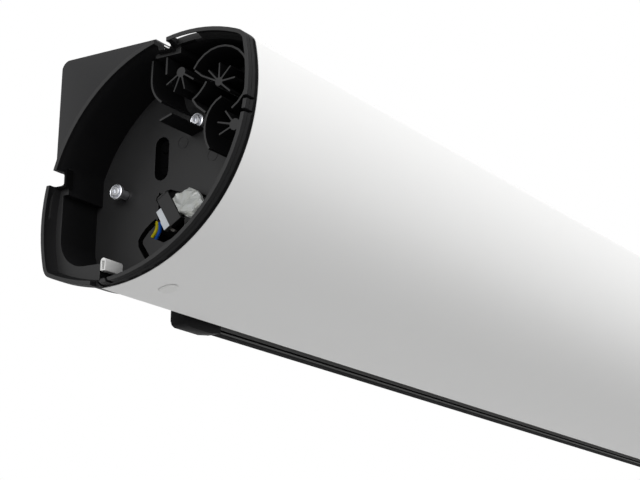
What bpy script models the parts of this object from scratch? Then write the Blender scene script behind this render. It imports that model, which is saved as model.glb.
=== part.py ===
"""Motorized projector screen: a long leaf-shaped case with a fabric roller driven by a tubular motor.

X runs along the case, -Y faces the viewers, +Y the wall and +Z the ceiling. The origin is at mid-length,
on the line where the planes of the wall and the ceiling meet. All sizes are in metres.
A depth is measured inwards from the rim plane of an end housing, on the side -1 (left) or +1 (right).
"""

import bpy
import bmesh
from math import acos, asin, atan2, cos, degrees, hypot, pi, radians, sin, sqrt
from mathutils import Matrix, Vector

LEFT = -1
RIGHT = 1
GAP = 0.0003

# Screen and case length
FABRIC_WIDTH = 1.600
FABRIC_DROP = 1.200
FABRIC_THICKNESS = 0.0005
FABRIC_SPARE_LENGTH = 0.084
FABRIC_TO_RIM = 0.098
CASE_LENGTH = FABRIC_WIDTH + 2 * FABRIC_TO_RIM

# Case section: four arcs, each with its radius and the two points (y, z) of the skin that it runs through
FRONT_LIP = (-0.0435, -0.1430)
FRONT_RADIUS = 0.1020
SHOULDER = (-0.1420, -0.0147)
SHOULDER_TRIMS = (0.0040, 0.0066)
TOP_RADIUS = 0.0903
TOP_TRACK_Y = -0.0840
TOP_TRACK_EDGES_Z = (-0.00825, -0.00615)
CROWN_RADIUS = 0.0989
BACK_TRACK_Z = -0.0765
BACK_TRACK_EDGES_Y = (-0.00919, -0.00725)
BACK_RADIUS = 0.1050
BACK_LIP = (-0.0070, -0.1280)
FOOT_BACK = (-0.0115, -0.1348)
FOOT_MIDDLE = (-0.0265, -0.1399)
ARC_STEP = 5.0
SKIN_STEPS = (20, 9, 15, 10, 7)

# Case extrusion
CASE_WALL = 0.0022
LIP_RETURN_HEIGHT = 0.0065
LIP_RETURN_WALL = 0.0018
BACK_FLANGE_REACH = 0.0105
BACK_FLANGE_WALL = 0.0020

# T tracks for the brackets
TRACK_MOUTH = 0.0085
TRACK_WIDTH = 0.0128
TRACK_LIP = 0.0018
TRACK_DEPTH = 0.0052
TRACK_WALL = 0.0012
TRACK_COVER_WALL = 0.0010

# End housings
COLLAR_DEPTH = 0.0064
RIM_WALL = 0.0024
RIM_STRAIGHT = 0.0030
LEDGE_DEPTH = 0.0079
FLOOR_DEPTH = 0.0377
FLOOR_WALL = 0.0023
CHAMBER_WALL = 0.0020
HOUSING_CLEARANCE = 0.0003
CHAMBER_BACK_Y = -0.0123
CHAMBER_STEP_Y = -0.0425
CHAMBER_STEP_Z = -0.1290
CHAMBER_CORNER_RADIUS = 0.0180
SNAP_CUT_WIDTH = 0.0019
SNAP_CUT_HEIGHTS = (-0.0524, -0.0597)
RIM_WINDOW_Y = (-0.1088, -0.0927)
RIM_WINDOW_DEPTHS = (0.0010, 0.0058)
RIM_SLIT_Z = (-0.0996, -0.0850)
RIM_SLIT_DEPTHS = (0.0030, 0.0040)
TOP_NOTCH_DEPTH = 0.0050
TOP_NOTCH_CORNER = 0.0010
BACK_NOTCH_DEPTH = 0.0077
BACK_NOTCH_CORNER = 0.0024
NOTCH_FLOOR_DEPTH = 0.0044
NOTCH_WALL = 0.0011
FOOT_CUT_Y = (-0.0500, -0.0430)
FOOT_CUT_HEIGHT = 0.0050

# Cable ribs and bosses in the chamber, all ending at one depth below the rim plane.
# Their places are (distance behind the foremost line of the skin, z)
RIB_TOP_DEPTH = 0.0085
RIB_WALL = 0.0012
SPOKE_WALL = 0.0010
BOSS_A = (0.0524, -0.0261)
BOSS_B = (0.0260, -0.0368)
BOSS_C = (0.0144, -0.0632)
BOSS_RADII = (0.0030, 0.0025, 0.0034)
LOOP_CENTRE = (0.0262, -0.0360)
LOOP_RADIUS = 0.0199

# Cable opening in the floor and the tongue that holds the connectors over it
CLIP_CENTRE = (-0.0716, -0.0962)
CLIP_ANGLE = 58.5
CLIP_LENGTH = 0.0190
CLIP_WIDTH = 0.0084
CLIP_WALL = 0.0014
CLIP_RISE = 0.0080
CLIP_LIP = 0.0042
CLIP_ROOT = (0.0175, 0.0014)
CLIP_ROOT_WIDTH = 0.0056
OPENING = ((-0.0575, -0.0828), (-0.0660, -0.0820), (-0.0880, -0.0900), (-0.0840, -0.1010),
           (-0.0720, -0.1098), (-0.0625, -0.1125), (-0.0543, -0.1088), (-0.0576, -0.0980))
SLIT_WIDTH = 0.0020

# Roller and drive
AXIS = (-0.0585, -0.0625)
TUBE_RADIUS = 0.0250
TUBE_WALL = 0.0012
TUBE_END_DEPTH = 0.0605
MOTOR_RADIUS = 0.0175
MOTOR_LENGTH = 0.4300
MOTOR_HEAD_RADIUS = 0.0240
MOTOR_HEAD_LENGTH = 0.0144
CROWN_LENGTH = 0.0140
DRIVE_WHEEL_LENGTH = 0.0180
OUTPUT_SHAFT_RADIUS = 0.0050
OUTPUT_SHAFT_LENGTH = 0.0240
PLATE_THICKNESS = 0.0030
BOLT_OFFSET = (-0.0256, 0.0181)
BOLT_SHANK_RADIUS = 0.0027
BOLT_BACK_DEPTH = 0.0277
BOLT_FLANGE_RADIUS = 0.0045
BOLT_FLANGE_THICKNESS = 0.0013
BOLT_HEAD_RADIUS = 0.0031
BOLT_HEAD_HEIGHT = 0.0018
BOLT_REACH = 0.0080
ACCESS_SLOT_WIDTH = 0.0098
ACCESS_SLOT_HEIGHT = 0.0261
BUTTON_RADIUS = 0.0026
BUTTON_SPACING = 0.0135
BUTTON_STROKE = 0.0020
BUTTON_PROUD = 0.0012
SPIGOT_SETBACK = 0.0015
IDLER_PLUG_LENGTH = 0.0300
SPINDLE_RADIUS = 0.0050
BEARING_RADIUS = 0.0130
BEARING_WIDTH = 0.0090

# Slat bar under the fabric
SLAT_THICKNESS = 0.0090
SLAT_HEIGHT = 0.0260
SLAT_WALL = 0.0014
SLAT_BELOW_LIP = 0.0011
SLAT_END_DEPTH = 0.0950
SLAT_CAP_LENGTH = 0.0365
SLAT_CAP_TAPER = 0.0095
SLAT_CAP_PROUD = 0.0008
SLAT_CAP_DROP = 0.0019
HEM_ROD_RADIUS = 0.0021

# Wall and ceiling brackets
BRACKET_DEPTH = 0.0137
BRACKET_LENGTH = 0.0443
BRACKET_STEEL = 0.0030
BRACKET_CORNER = 0.0060
BRACKET_FRONT_Y = -0.0700
BRACKET_LOW_Z = -0.0670
BRACKET_CLEARANCE = 0.0015
TONGUE_SETBACK = 0.0125
TONGUE_TOE = 0.0040
SCREW_SLOT_WIDTH = 0.0070
SCREW_SLOT_LENGTH = 0.0140
CEILING_SCREWS_Y = (-0.0230, -0.0500)
WALL_SCREWS_Z = (-0.0230, -0.0480)
CLAMP_EAR_WIDTH = 0.0220
CLAMP_EAR_REACH = 0.0230
CLAMP_EAR_STANDOFF = 0.0100
CLAMP_SCREW_RADIUS = 0.0030
CLAMP_NUT_RADIUS = 0.0060
CLAMP_NUT_HEIGHT = 0.0040

# Small parts
PLUG_RADIUS = 0.0056
PLUG_STEM_RADIUS = 0.0045
PLUG_ANGLE = 256.0
PLUG_DEPTH = 0.0370
PLUG_FLANGE = 0.0007
CATCH_LENGTH = 0.0190
CATCH_WIDTH = 0.0037
CATCH_HEIGHT = 0.0074
CATCH_WALL = 0.0009
COVER_WALL = 0.0030
WIRE_RADIUS = 0.0010
WIRE_PITCH = 0.0027

HALF = CASE_LENGTH / 2
PLUG_WALL_INSET = CASE_WALL + HOUSING_CLEARANCE
CHAMBER_INSET = PLUG_WALL_INSET + CHAMBER_WALL
RELIEF_DEPTH = LEDGE_DEPTH + TRACK_COVER_WALL
CASE_STEP_DEPTH = RELIEF_DEPTH + HOUSING_CLEARANCE
BOLT_FRONT = (AXIS[0] + BOLT_OFFSET[0], AXIS[1] + BOLT_OFFSET[1])
BOLT_BACK = (AXIS[0] - BOLT_OFFSET[0], AXIS[1] - BOLT_OFFSET[1])
LIP_Y, LIP_Z = FRONT_LIP
BACK_LIP_Z = BACK_LIP[1]
FLOOR_BACK_DEPTH = FLOOR_DEPTH + FLOOR_WALL
PLATE_DEPTH = FLOOR_BACK_DEPTH + GAP
HEAD_DEPTH = PLATE_DEPTH + PLATE_THICKNESS + GAP
MOTOR_DEPTH = HEAD_DEPTH + MOTOR_HEAD_LENGTH + GAP
TUBE_BORE = TUBE_RADIUS - TUBE_WALL
DRIVE_RADIUS = TUBE_BORE - GAP
ROLL_RADIUS = sqrt(TUBE_RADIUS ** 2 + (FABRIC_DROP + FABRIC_SPARE_LENGTH) * FABRIC_THICKNESS / pi)
FABRIC_Y = AXIS[0] + ROLL_RADIUS + GAP + FABRIC_THICKNESS / 2
SLAT_BOTTOM = LIP_Z - SLAT_BELOW_LIP
SLAT_TOP = SLAT_BOTTOM + SLAT_HEIGHT


for old in list(bpy.data.objects):
    bpy.data.objects.remove(old)


# Helpers: finishes, points and solids

def finish(name, colour, roughness, metallic=0.0):
    """A Principled material of one colour."""
    material = bpy.data.materials.new(name)
    material.use_nodes = True
    shader = material.node_tree.nodes["Principled BSDF"]
    shader.inputs["Base Color"].default_value = (*colour, 1.0)
    shader.inputs["Roughness"].default_value = roughness
    shader.inputs["Metallic"].default_value = metallic
    material.diffuse_color = (*colour, 1.0)
    return material


WHITE_SHELL = finish("white_powder_coat", (0.80, 0.80, 0.79), 0.42)
BLACK_MOULDING = finish("black_moulding", (0.022, 0.022, 0.024), 0.38)
BLACK_STEEL = finish("black_steel", (0.040, 0.040, 0.042), 0.45, 0.3)
BLACK_BAR = finish("black_bar", (0.030, 0.030, 0.031), 0.35, 0.3)
ZINC = finish("zinc", (0.62, 0.63, 0.66), 0.28, 1.0)
ALUMINIUM = finish("bare_aluminium", (0.70, 0.71, 0.72), 0.35, 1.0)
GREY_PLASTIC = finish("light_grey_plastic", (0.68, 0.68, 0.67), 0.45)
WHITE_PLASTIC = finish("white_plastic", (0.78, 0.78, 0.76), 0.40)
NYLON = finish("natural_nylon", (0.72, 0.73, 0.70), 0.30)
MOTOR_PAINT = finish("motor_paint", (0.06, 0.06, 0.07), 0.50)
SCREEN_FABRIC = finish("screen_fabric", (0.85, 0.85, 0.84), 0.90)
WIRE_BLUE = finish("blue_wire", (0.03, 0.15, 0.55), 0.40)
WIRE_EARTH = finish("green_yellow_wire", (0.62, 0.62, 0.04), 0.40)
WIRE_BROWN = finish("brown_wire", (0.16, 0.06, 0.03), 0.40)


def station(side, depth):
    """X of a depth behind the rim plane of one end."""
    return side * (HALF - depth)


def arc(centre, radius, start, end, step=ARC_STEP, count=None):
    """Points on an arc, angles in degrees from +Y towards +Z."""
    count = count or max(2, int(abs(end - start) / step + 0.5))
    turn = [radians(start + (end - start) * i / count) for i in range(count + 1)]
    return [(centre[0] + radius * cos(a), centre[1] + radius * sin(a)) for a in turn]


def circle_through(a, b, c):
    """Centre and radius of the circle through three points."""
    d = 2 * (a[0] * (b[1] - c[1]) + b[0] * (c[1] - a[1]) + c[0] * (a[1] - b[1]))
    squares = [p[0] ** 2 + p[1] ** 2 for p in (a, b, c)]
    y = (squares[0] * (b[1] - c[1]) + squares[1] * (c[1] - a[1]) + squares[2] * (a[1] - b[1])) / d
    z = (squares[0] * (c[0] - b[0]) + squares[1] * (a[0] - c[0]) + squares[2] * (b[0] - a[0])) / d
    return (y, z), hypot(a[0] - y, a[1] - z)


def arc_centre(a, b, radius):
    """Centre of a skin arc from a to b. The skin runs over the front, the top and the back, round its inside."""
    half = hypot(b[0] - a[0], b[1] - a[1]) / 2
    reach = sqrt(radius ** 2 - half ** 2) / (2 * half)
    return (a[0] + b[0]) / 2 + reach * (b[1] - a[1]), (a[1] + b[1]) / 2 - reach * (b[0] - a[0])


def angle_to(centre, point):
    return degrees(atan2(point[1] - centre[1], point[0] - centre[0])) % 360


FRONT_CENTRE = arc_centre(FRONT_LIP, SHOULDER, FRONT_RADIUS)
TOP_CENTRE = arc_centre(SHOULDER, (TOP_TRACK_Y, TOP_TRACK_EDGES_Z[0]), TOP_RADIUS)
CROWN_CENTRE = arc_centre((TOP_TRACK_Y, TOP_TRACK_EDGES_Z[1]), (BACK_TRACK_EDGES_Y[0], BACK_TRACK_Z), CROWN_RADIUS)
BACK_CENTRE = arc_centre((BACK_TRACK_EDGES_Y[1], BACK_TRACK_Z), BACK_LIP, BACK_RADIUS)
FOREMOST_Y = FRONT_CENTRE[0] - FRONT_RADIUS


def corner(before, start, end, after, steps=4):
    """A soft corner that leaves one run along before-start and joins the next along end-after."""
    d1 = Vector(start) - Vector(before)
    d2 = Vector(end) - Vector(after)
    cross = d1.x * d2.y - d1.y * d2.x
    gap = Vector(end) - Vector(start)
    tip = Vector(start) + d1 * ((gap.x * d2.y - gap.y * d2.x) / cross)
    points = []
    for i in range(1, steps):
        t = i / steps
        p = Vector(start) * (1 - t) ** 2 + tip * 2 * t * (1 - t) + Vector(end) * t ** 2
        points.append((p.x, p.y))
    return points


def skin_path(inset):
    """The case's skin, moved inwards by inset: from the front lip over the front and top to the back lip."""
    half = TRACK_MOUTH / 2
    front_end = angle_to(FRONT_CENTRE, SHOULDER) + degrees(SHOULDER_TRIMS[0] / FRONT_RADIUS)
    front = arc(FRONT_CENTRE, FRONT_RADIUS - inset, angle_to(FRONT_CENTRE, FRONT_LIP), front_end, count=SKIN_STEPS[0])
    top_start = angle_to(TOP_CENTRE, SHOULDER) - degrees(SHOULDER_TRIMS[1] / TOP_RADIUS)
    top_end = degrees(acos((TOP_TRACK_Y - half - TOP_CENTRE[0]) / (TOP_RADIUS - inset)))
    top = arc(TOP_CENTRE, TOP_RADIUS - inset, top_start, top_end, count=SKIN_STEPS[1])
    crown_start = degrees(acos((TOP_TRACK_Y + half - CROWN_CENTRE[0]) / (CROWN_RADIUS - inset)))
    crown_end = degrees(asin((BACK_TRACK_Z + half - CROWN_CENTRE[1]) / (CROWN_RADIUS - inset)))
    crown = arc(CROWN_CENTRE, CROWN_RADIUS - inset, crown_start, crown_end, count=SKIN_STEPS[2])
    back_start = degrees(asin((BACK_TRACK_Z - half - BACK_CENTRE[1]) / (BACK_RADIUS - inset)))
    back_end = degrees(asin((BACK_LIP_Z - BACK_CENTRE[1]) / (BACK_RADIUS - inset)))
    back = arc(BACK_CENTRE, BACK_RADIUS - inset, back_start, back_end, count=SKIN_STEPS[3])
    return front + corner(front[-2], front[-1], top[0], top[1]) + top + crown + back


def end_outline(inset):
    """The closed outline of an end housing: the skin and its foot below the back lip."""
    path = skin_path(inset)
    centre, radius = circle_through(FOOT_BACK, FOOT_MIDDLE, (LIP_Y, LIP_Z))
    start = degrees(atan2(FOOT_BACK[1] - centre[1], FOOT_BACK[0] - centre[0]))
    end = degrees(atan2(LIP_Z - centre[1], LIP_Y - centre[0]))
    foot = arc(centre, radius - inset, start, end, count=SKIN_STEPS[4])
    return path + corner(path[-2], path[-1], foot[0], foot[1]) + foot[:-1]


def roof(y, inset=0.0):
    """Height of the skin over y."""
    path = skin_path(inset)
    heights = []
    for a, b in zip(path, path[1:]):
        if min(a[0], b[0]) <= y <= max(a[0], b[0]) and a[0] != b[0]:
            heights.append(a[1] + (b[1] - a[1]) * (y - a[0]) / (b[0] - a[0]))
    return max(heights)


def back(z, inset=0.0):
    """Reach of the skin towards the wall at height z."""
    path = skin_path(inset)
    reaches = []
    for a, b in zip(path, path[1:]):
        if min(a[1], b[1]) <= z <= max(a[1], b[1]) and a[1] != b[1]:
            reaches.append(a[0] + (b[0] - a[0]) * (z - a[1]) / (b[1] - a[1]))
    return max(reaches)


def solid(name, mesh_maker, material):
    """A new object from a function that fills a bmesh."""
    mesh = bpy.data.meshes.new(name)
    bm = bmesh.new()
    mesh_maker(bm)
    bmesh.ops.recalc_face_normals(bm, faces=bm.faces)
    bm.to_mesh(mesh)
    bm.free()
    item = bpy.data.objects.new(name, mesh)
    bpy.context.scene.collection.objects.link(item)
    if material:
        mesh.materials.append(material)
    return item


def add_prism(bm, outline, x0, x1):
    """One closed prism of a (y, z) outline between two stations."""
    low = [bm.verts.new((x0, y, z)) for y, z in outline]
    high = [bm.verts.new((x1, y, z)) for y, z in outline]
    bm.faces.new(low)
    bm.faces.new(high)
    count = len(outline)
    for i in range(count):
        j = (i + 1) % count
        bm.faces.new((low[i], low[j], high[j], high[i]))


def prism(name, outline, x0, x1, material=None):
    return solid(name, lambda bm: add_prism(bm, outline, x0, x1), material)


def add_loft(bm, side, rows):
    """One closed body through outlines of equal length, each at its own depth."""
    loops = [[bm.verts.new((station(side, depth), y, z)) for y, z in outline] for depth, outline in rows]
    bm.faces.new(loops[0])
    bm.faces.new(loops[-1])
    for a, b in zip(loops, loops[1:]):
        for i in range(len(a)):
            j = (i + 1) % len(a)
            bm.faces.new((a[i], a[j], b[j], b[i]))


def box_outline(y0, y1, z0, z1):
    return [(y0, z0), (y1, z0), (y1, z1), (y0, z1)]


def stadium(centre, width, height, steps=6):
    """An upright slot outline with round ends."""
    y, z = centre
    r = width / 2
    rise = height / 2 - r
    upper = arc((y, z + rise), r, 0, 180, 180 / steps)
    lower = arc((y, z - rise), r, 180, 360, 180 / steps)
    return upper + lower


def turned(name, profile, material, centre=AXIS, segments=40):
    """A round piece: a closed (x, radius) profile turned about a line along X. A radius of 0 is on the line."""
    def make(bm):
        rings = []
        for i in range(segments):
            a = 2 * pi * i / segments
            ring = []
            for k, (x, r) in enumerate(profile):
                if r == 0 and i:
                    ring.append(rings[0][k])
                else:
                    ring.append(bm.verts.new((x, centre[0] + r * cos(a), centre[1] + r * sin(a))))
            rings.append(ring)
        for i in range(segments):
            a, b = rings[i], rings[(i + 1) % segments]
            for k in range(len(profile)):
                m = (k + 1) % len(profile)
                corners = []
                for v in (a[k], a[m], b[m], b[k]):
                    if v not in corners:
                        corners.append(v)
                if len(corners) > 2:
                    bm.faces.new(corners)
    piece = solid(name, make, material)
    shade(piece)
    return piece


def ring(name, x0, x1, inner, outer, material, centre=AXIS, segments=40):
    return turned(name, [(x0, inner), (x1, inner), (x1, outer), (x0, outer)], material, centre, segments)


def rod(name, x0, x1, radius, material, centre=AXIS, segments=24):
    return turned(name, [(x0, 0), (x0, radius), (x1, radius), (x1, 0)], material, centre, segments)


def shade(piece, angle=35):
    piece.data.shade_smooth()
    piece.data.set_sharp_from_angle(angle=radians(angle))


def helper(piece):
    """A cutter or an added shape, which isn't a piece by itself."""
    piece.hide_render = True
    piece.display_type = "WIRE"
    return piece


def combine(piece, other, operation):
    helper(other)
    change = piece.modifiers.new(other.name, "BOOLEAN")
    change.operation = operation
    change.object = other
    change.use_self = operation == "UNION"
    return piece


def cut(piece, *others):
    for other in others:
        combine(piece, other, "DIFFERENCE")
    return piece


def unite(piece, *others):
    for other in others:
        combine(piece, other, "UNION")
    return piece


# Case extrusion

def track_block_top(extra=0.0, roof_inset=0.001):
    half = TRACK_WIDTH / 2 + TRACK_WALL + extra
    bottom = roof(TOP_TRACK_Y) - TRACK_DEPTH - TRACK_WALL - extra
    ys = [TOP_TRACK_Y - half + 2 * half * i / 4 for i in range(5)]
    return [(ys[-1], bottom)] + [(y, roof(y) - roof_inset) for y in reversed(ys)] + [(ys[0], bottom)]


def track_block_back(extra=0.0, skin_inset=0.001):
    half = TRACK_WIDTH / 2 + TRACK_WALL + extra
    inner = back(BACK_TRACK_Z) - TRACK_DEPTH - TRACK_WALL - extra
    zs = [BACK_TRACK_Z - half + 2 * half * i / 4 for i in range(5)]
    return [(inner, zs[-1])] + [(back(z) - skin_inset, z) for z in reversed(zs)] + [(inner, zs[0])]


def track_slot_top():
    top = roof(TOP_TRACK_Y)
    mouth = TRACK_MOUTH / 2
    half = TRACK_WIDTH / 2
    y = TOP_TRACK_Y
    low = top - TRACK_DEPTH
    lip = top - TRACK_LIP
    over = top + 0.004
    return [(y - half, low), (y + half, low), (y + half, lip), (y + mouth, lip), (y + mouth, over),
            (y - mouth, over), (y - mouth, lip), (y - half, lip)]


def track_slot_back():
    reach = back(BACK_TRACK_Z)
    mouth = TRACK_MOUTH / 2
    half = TRACK_WIDTH / 2
    z = BACK_TRACK_Z
    deep = reach - TRACK_DEPTH
    lip = reach - TRACK_LIP
    over = reach + 0.004
    return [(deep, z - half), (deep, z + half), (lip, z + half), (lip, z + mouth), (over, z + mouth),
            (over, z - mouth), (lip, z - mouth), (lip, z - half)]


def case_section():
    """Skin with an upturned front lip and a back flange; the mouth between them lets the fabric out."""
    outer = skin_path(0.0)
    inner = skin_path(CASE_WALL)
    flange_top = BACK_LIP_Z + BACK_FLANGE_WALL
    return_y = LIP_Y - LIP_RETURN_WALL
    return_top = LIP_Z + LIP_RETURN_HEIGHT
    middle = len(inner) // 2
    kept = [p for i, p in enumerate(inner) if (i < middle and p[0] < return_y) or (i >= middle and p[1] > flange_top)]
    front_inner = FRONT_RADIUS - CASE_WALL
    foot_z = FRONT_CENTRE[1] - sqrt(front_inner ** 2 - (return_y - FRONT_CENTRE[0]) ** 2)
    flange_y = back(flange_top, CASE_WALL)
    tip_y = outer[-1][0] - BACK_FLANGE_REACH
    flange = [(tip_y, BACK_LIP_Z), (tip_y, flange_top), (flange_y, flange_top)]
    lip = [(return_y, foot_z), (return_y, return_top), (LIP_Y, return_top)]
    return outer + flange + kept[::-1] + lip


def make_case():
    x0, x1 = station(LEFT, COLLAR_DEPTH), station(RIGHT, COLLAR_DEPTH)
    case = prism("case_extrusion", case_section(), x0, x1, WHITE_SHELL)
    unite(case, prism("case_top_track", track_block_top(), x0, x1))
    unite(case, prism("case_back_track", track_block_back(), x0, x1))
    cut(case, prism("case_top_slot", track_slot_top(), x0 - 0.01, x1 + 0.01))
    cut(case, prism("case_back_slot", track_slot_back(), x0 - 0.01, x1 + 0.01))
    for side in (LEFT, RIGHT):
        tag = "left" if side == LEFT else "right"
        inside = end_outline(CASE_WALL + 0.0002)
        cut(case, prism("case_step_" + tag, inside, station(side, -0.01), station(side, CASE_STEP_DEPTH)))
        cut(case, plug_bore(side))
    shade(case, 20)
    return case


def radial_frame(centre, radius, angle, x):
    """A frame on the front skin: its Z points out of the skin, at an angle round the centre."""
    a = radians(angle)
    place = Vector((x, centre[0] + radius * cos(a), centre[1] + radius * sin(a)))
    outward = Vector((0, cos(a), sin(a)))
    along = Vector((1, 0, 0))
    across = outward.cross(along)
    turn = Matrix((along, across, outward)).transposed()
    return Matrix.Translation(place) @ turn.to_4x4()


def upright(name, profile, matrix, material, segments=24):
    """A round piece whose (height, radius) profile is turned about its frame's own Z."""
    piece = turned(name, profile, material, (0.0, 0.0), segments)
    piece.data.transform(Matrix.Rotation(-pi / 2, 4, "Y"))
    piece.data.transform(matrix)
    return piece


def plug_frame(side):
    return radial_frame(FRONT_CENTRE, FRONT_RADIUS, PLUG_ANGLE, station(side, PLUG_DEPTH))


def plug_bore(side):
    name = "plug_bore_left" if side == LEFT else "plug_bore_right"
    r = PLUG_STEM_RADIUS + GAP
    return upright(name, [(-0.01, 0), (-0.01, r), (0.01, r), (0.01, 0)], plug_frame(side), None)


def make_access_plug(side):
    name = "access_plug_left" if side == LEFT else "access_plug_right"
    seat = PLUG_RADIUS ** 2 / (2 * FRONT_RADIUS) + 0.0001
    stem = -CASE_WALL + 0.0001
    profile = [(stem, 0), (stem, PLUG_STEM_RADIUS), (seat - 0.0002, PLUG_STEM_RADIUS), (seat - 0.0002, PLUG_RADIUS),
               (seat + PLUG_FLANGE * 0.4, PLUG_RADIUS), (seat + PLUG_FLANGE, PLUG_RADIUS * 0.85),
               (seat + PLUG_FLANGE, 0)]
    return upright(name, profile, plug_frame(side), WHITE_PLASTIC)


# End housings

def chamber_outline():
    """The wiring chamber: inside the skin, straight at the back, with a step at the front of the foot."""
    path = skin_path(CHAMBER_INSET)
    middle = len(path) // 2
    kept = [p for i, p in enumerate(path) if (i < middle and p[0] < CHAMBER_STEP_Y) or (i >= middle and p[0] < CHAMBER_BACK_Y)]
    kept = [p for p in kept if p[1] > CHAMBER_STEP_Z - 0.0001 or p[0] < CHAMBER_STEP_Y]
    r = CHAMBER_CORNER_RADIUS
    foot = [(CHAMBER_BACK_Y, kept[-1][1] - 0.001)]
    foot += arc((CHAMBER_BACK_Y - r, CHAMBER_STEP_Z + r), r, 0, -90, 12)
    radius = FRONT_RADIUS - CHAMBER_INSET
    start_z = FRONT_CENTRE[1] - sqrt(radius ** 2 - (CHAMBER_STEP_Y - FRONT_CENTRE[0]) ** 2)
    foot += [(CHAMBER_STEP_Y, CHAMBER_STEP_Z), (CHAMBER_STEP_Y, start_z)]
    return kept + foot


def strip_outline(path, width):
    """The outline of a wall of one width along a centre line."""
    left, right = [], []
    for i, p in enumerate(path):
        a = Vector(path[max(i - 1, 0)])
        b = Vector(path[min(i + 1, len(path) - 1)])
        along = (b - a).normalized()
        side = Vector((-along.y, along.x)) * width / 2
        left.append((p[0] + side.x, p[1] + side.y))
        right.append((p[0] - side.x, p[1] - side.y))
    return left + right[::-1]


def curve_through(a, b, c, steps=7):
    """Points of the arc from a to c through b."""
    centre, radius = circle_through(a, b, c)
    angles = [atan2(p[1] - centre[1], p[0] - centre[0]) for p in (a, b, c)]
    turn = (angles[2] - angles[0]) % (2 * pi)
    if (angles[1] - angles[0]) % (2 * pi) > turn:
        turn -= 2 * pi
    return [(centre[0] + radius * cos(angles[0] + turn * i / steps),
             centre[1] + radius * sin(angles[0] + turn * i / steps)) for i in range(steps + 1)]


def spokes(centre, ends):
    return [[centre, end] for end in ends]


def behind_front(points):
    return [(FOREMOST_Y + back_from_skin, z) for back_from_skin, z in points]


def rib_paths():
    """Centre lines of the cable ribs: a round loop, arcs beside it, and short spokes on three bosses."""
    walls = [
        arc(LOOP_CENTRE, LOOP_RADIUS, 29.5, 242.0, 14),
        [(0.0728, -0.0155)] + curve_through((0.0730, -0.0262), (0.0712, -0.0346), (0.0653, -0.0413), 6),
        [(0.0627, -0.0154), (0.0627, -0.0256)],
        curve_through((0.0239, -0.0456), (0.0314, -0.0514), (0.0345, -0.0605), 5),
        curve_through((0.0345, -0.0605), (0.0340, -0.0672), (0.0310, -0.0742), 4),
        curve_through((0.0345, -0.0350), (0.0382, -0.0399), (0.0436, -0.0440), 4),
        [(0.0436, -0.0440), (0.0405, -0.0481), (0.0344, -0.0529)],
        [(0.0660, -0.0520), (0.0576, -0.0495)],
    ]
    stars = spokes(BOSS_A, [(0.0623, -0.0319), (0.0568, -0.0370), (0.0494, -0.0365), (0.0434, -0.0320)])
    stars += spokes(BOSS_B, [(0.0259, -0.0259), (0.0184, -0.0290), (0.0152, -0.0362), (0.0183, -0.0436),
                             (0.0333, -0.0288), (0.0376, -0.0313)])
    stars += spokes(BOSS_C, [(0.0209, -0.0545), (0.0259, -0.0601), (0.0246, -0.0674)])
    stars += [[(0.0376, -0.0313), (0.0427, -0.0271)]]
    return [behind_front(path) for path in walls], [behind_front(path) for path in stars]


def make_ribs(side, tag):
    """All ribs and bosses as one helper, standing on the chamber floor."""
    x0 = station(side, RIB_TOP_DEPTH)
    x1 = station(side, FLOOR_DEPTH + FLOOR_WALL / 2)
    walls, stars = rib_paths()

    def make(bm):
        for path in walls:
            add_prism(bm, strip_outline(path, RIB_WALL), x0, x1)
        for path in stars:
            add_prism(bm, strip_outline(path, SPOKE_WALL), x0, x1)
        for centre, radius in zip(behind_front((BOSS_A, BOSS_B, BOSS_C)), BOSS_RADII):
            add_prism(bm, arc(centre, radius, 0, 330, 30), x0, x1)
    return solid("ribs_" + tag, make, None)


def turned_rectangle(centre, length, width, angle, radius, steps=3):
    """A rounded rectangle outline, its length at an angle from +Y towards +Z."""
    a = radians(angle)
    points = []
    corners = [(1, 1, 0), (-1, 1, 90), (-1, -1, 180), (1, -1, 270)]
    for sy, sz, start in corners:
        middle = (sy * (length / 2 - radius), sz * (width / 2 - radius))
        points += arc(middle, radius, start, start + 90, 90 / steps)
    return [(centre[0] + y * cos(a) - z * sin(a), centre[1] + y * sin(a) + z * cos(a)) for y, z in points]


def slit_path():
    first = curve_through((-0.0571, -0.0992), (-0.0502, -0.1038), (-0.0456, -0.1094), 5)
    return first[:-1] + curve_through((-0.0456, -0.1094), (-0.0473, -0.1142), (-0.0511, -0.1198), 5)


def clip_point(along, across):
    """A point beside the tongue: along it towards its root, and across it towards the back."""
    a = radians(CLIP_ANGLE)
    return (CLIP_CENTRE[0] + along * cos(a) + across * sin(a), CLIP_CENTRE[1] + along * sin(a) - across * cos(a))


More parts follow.
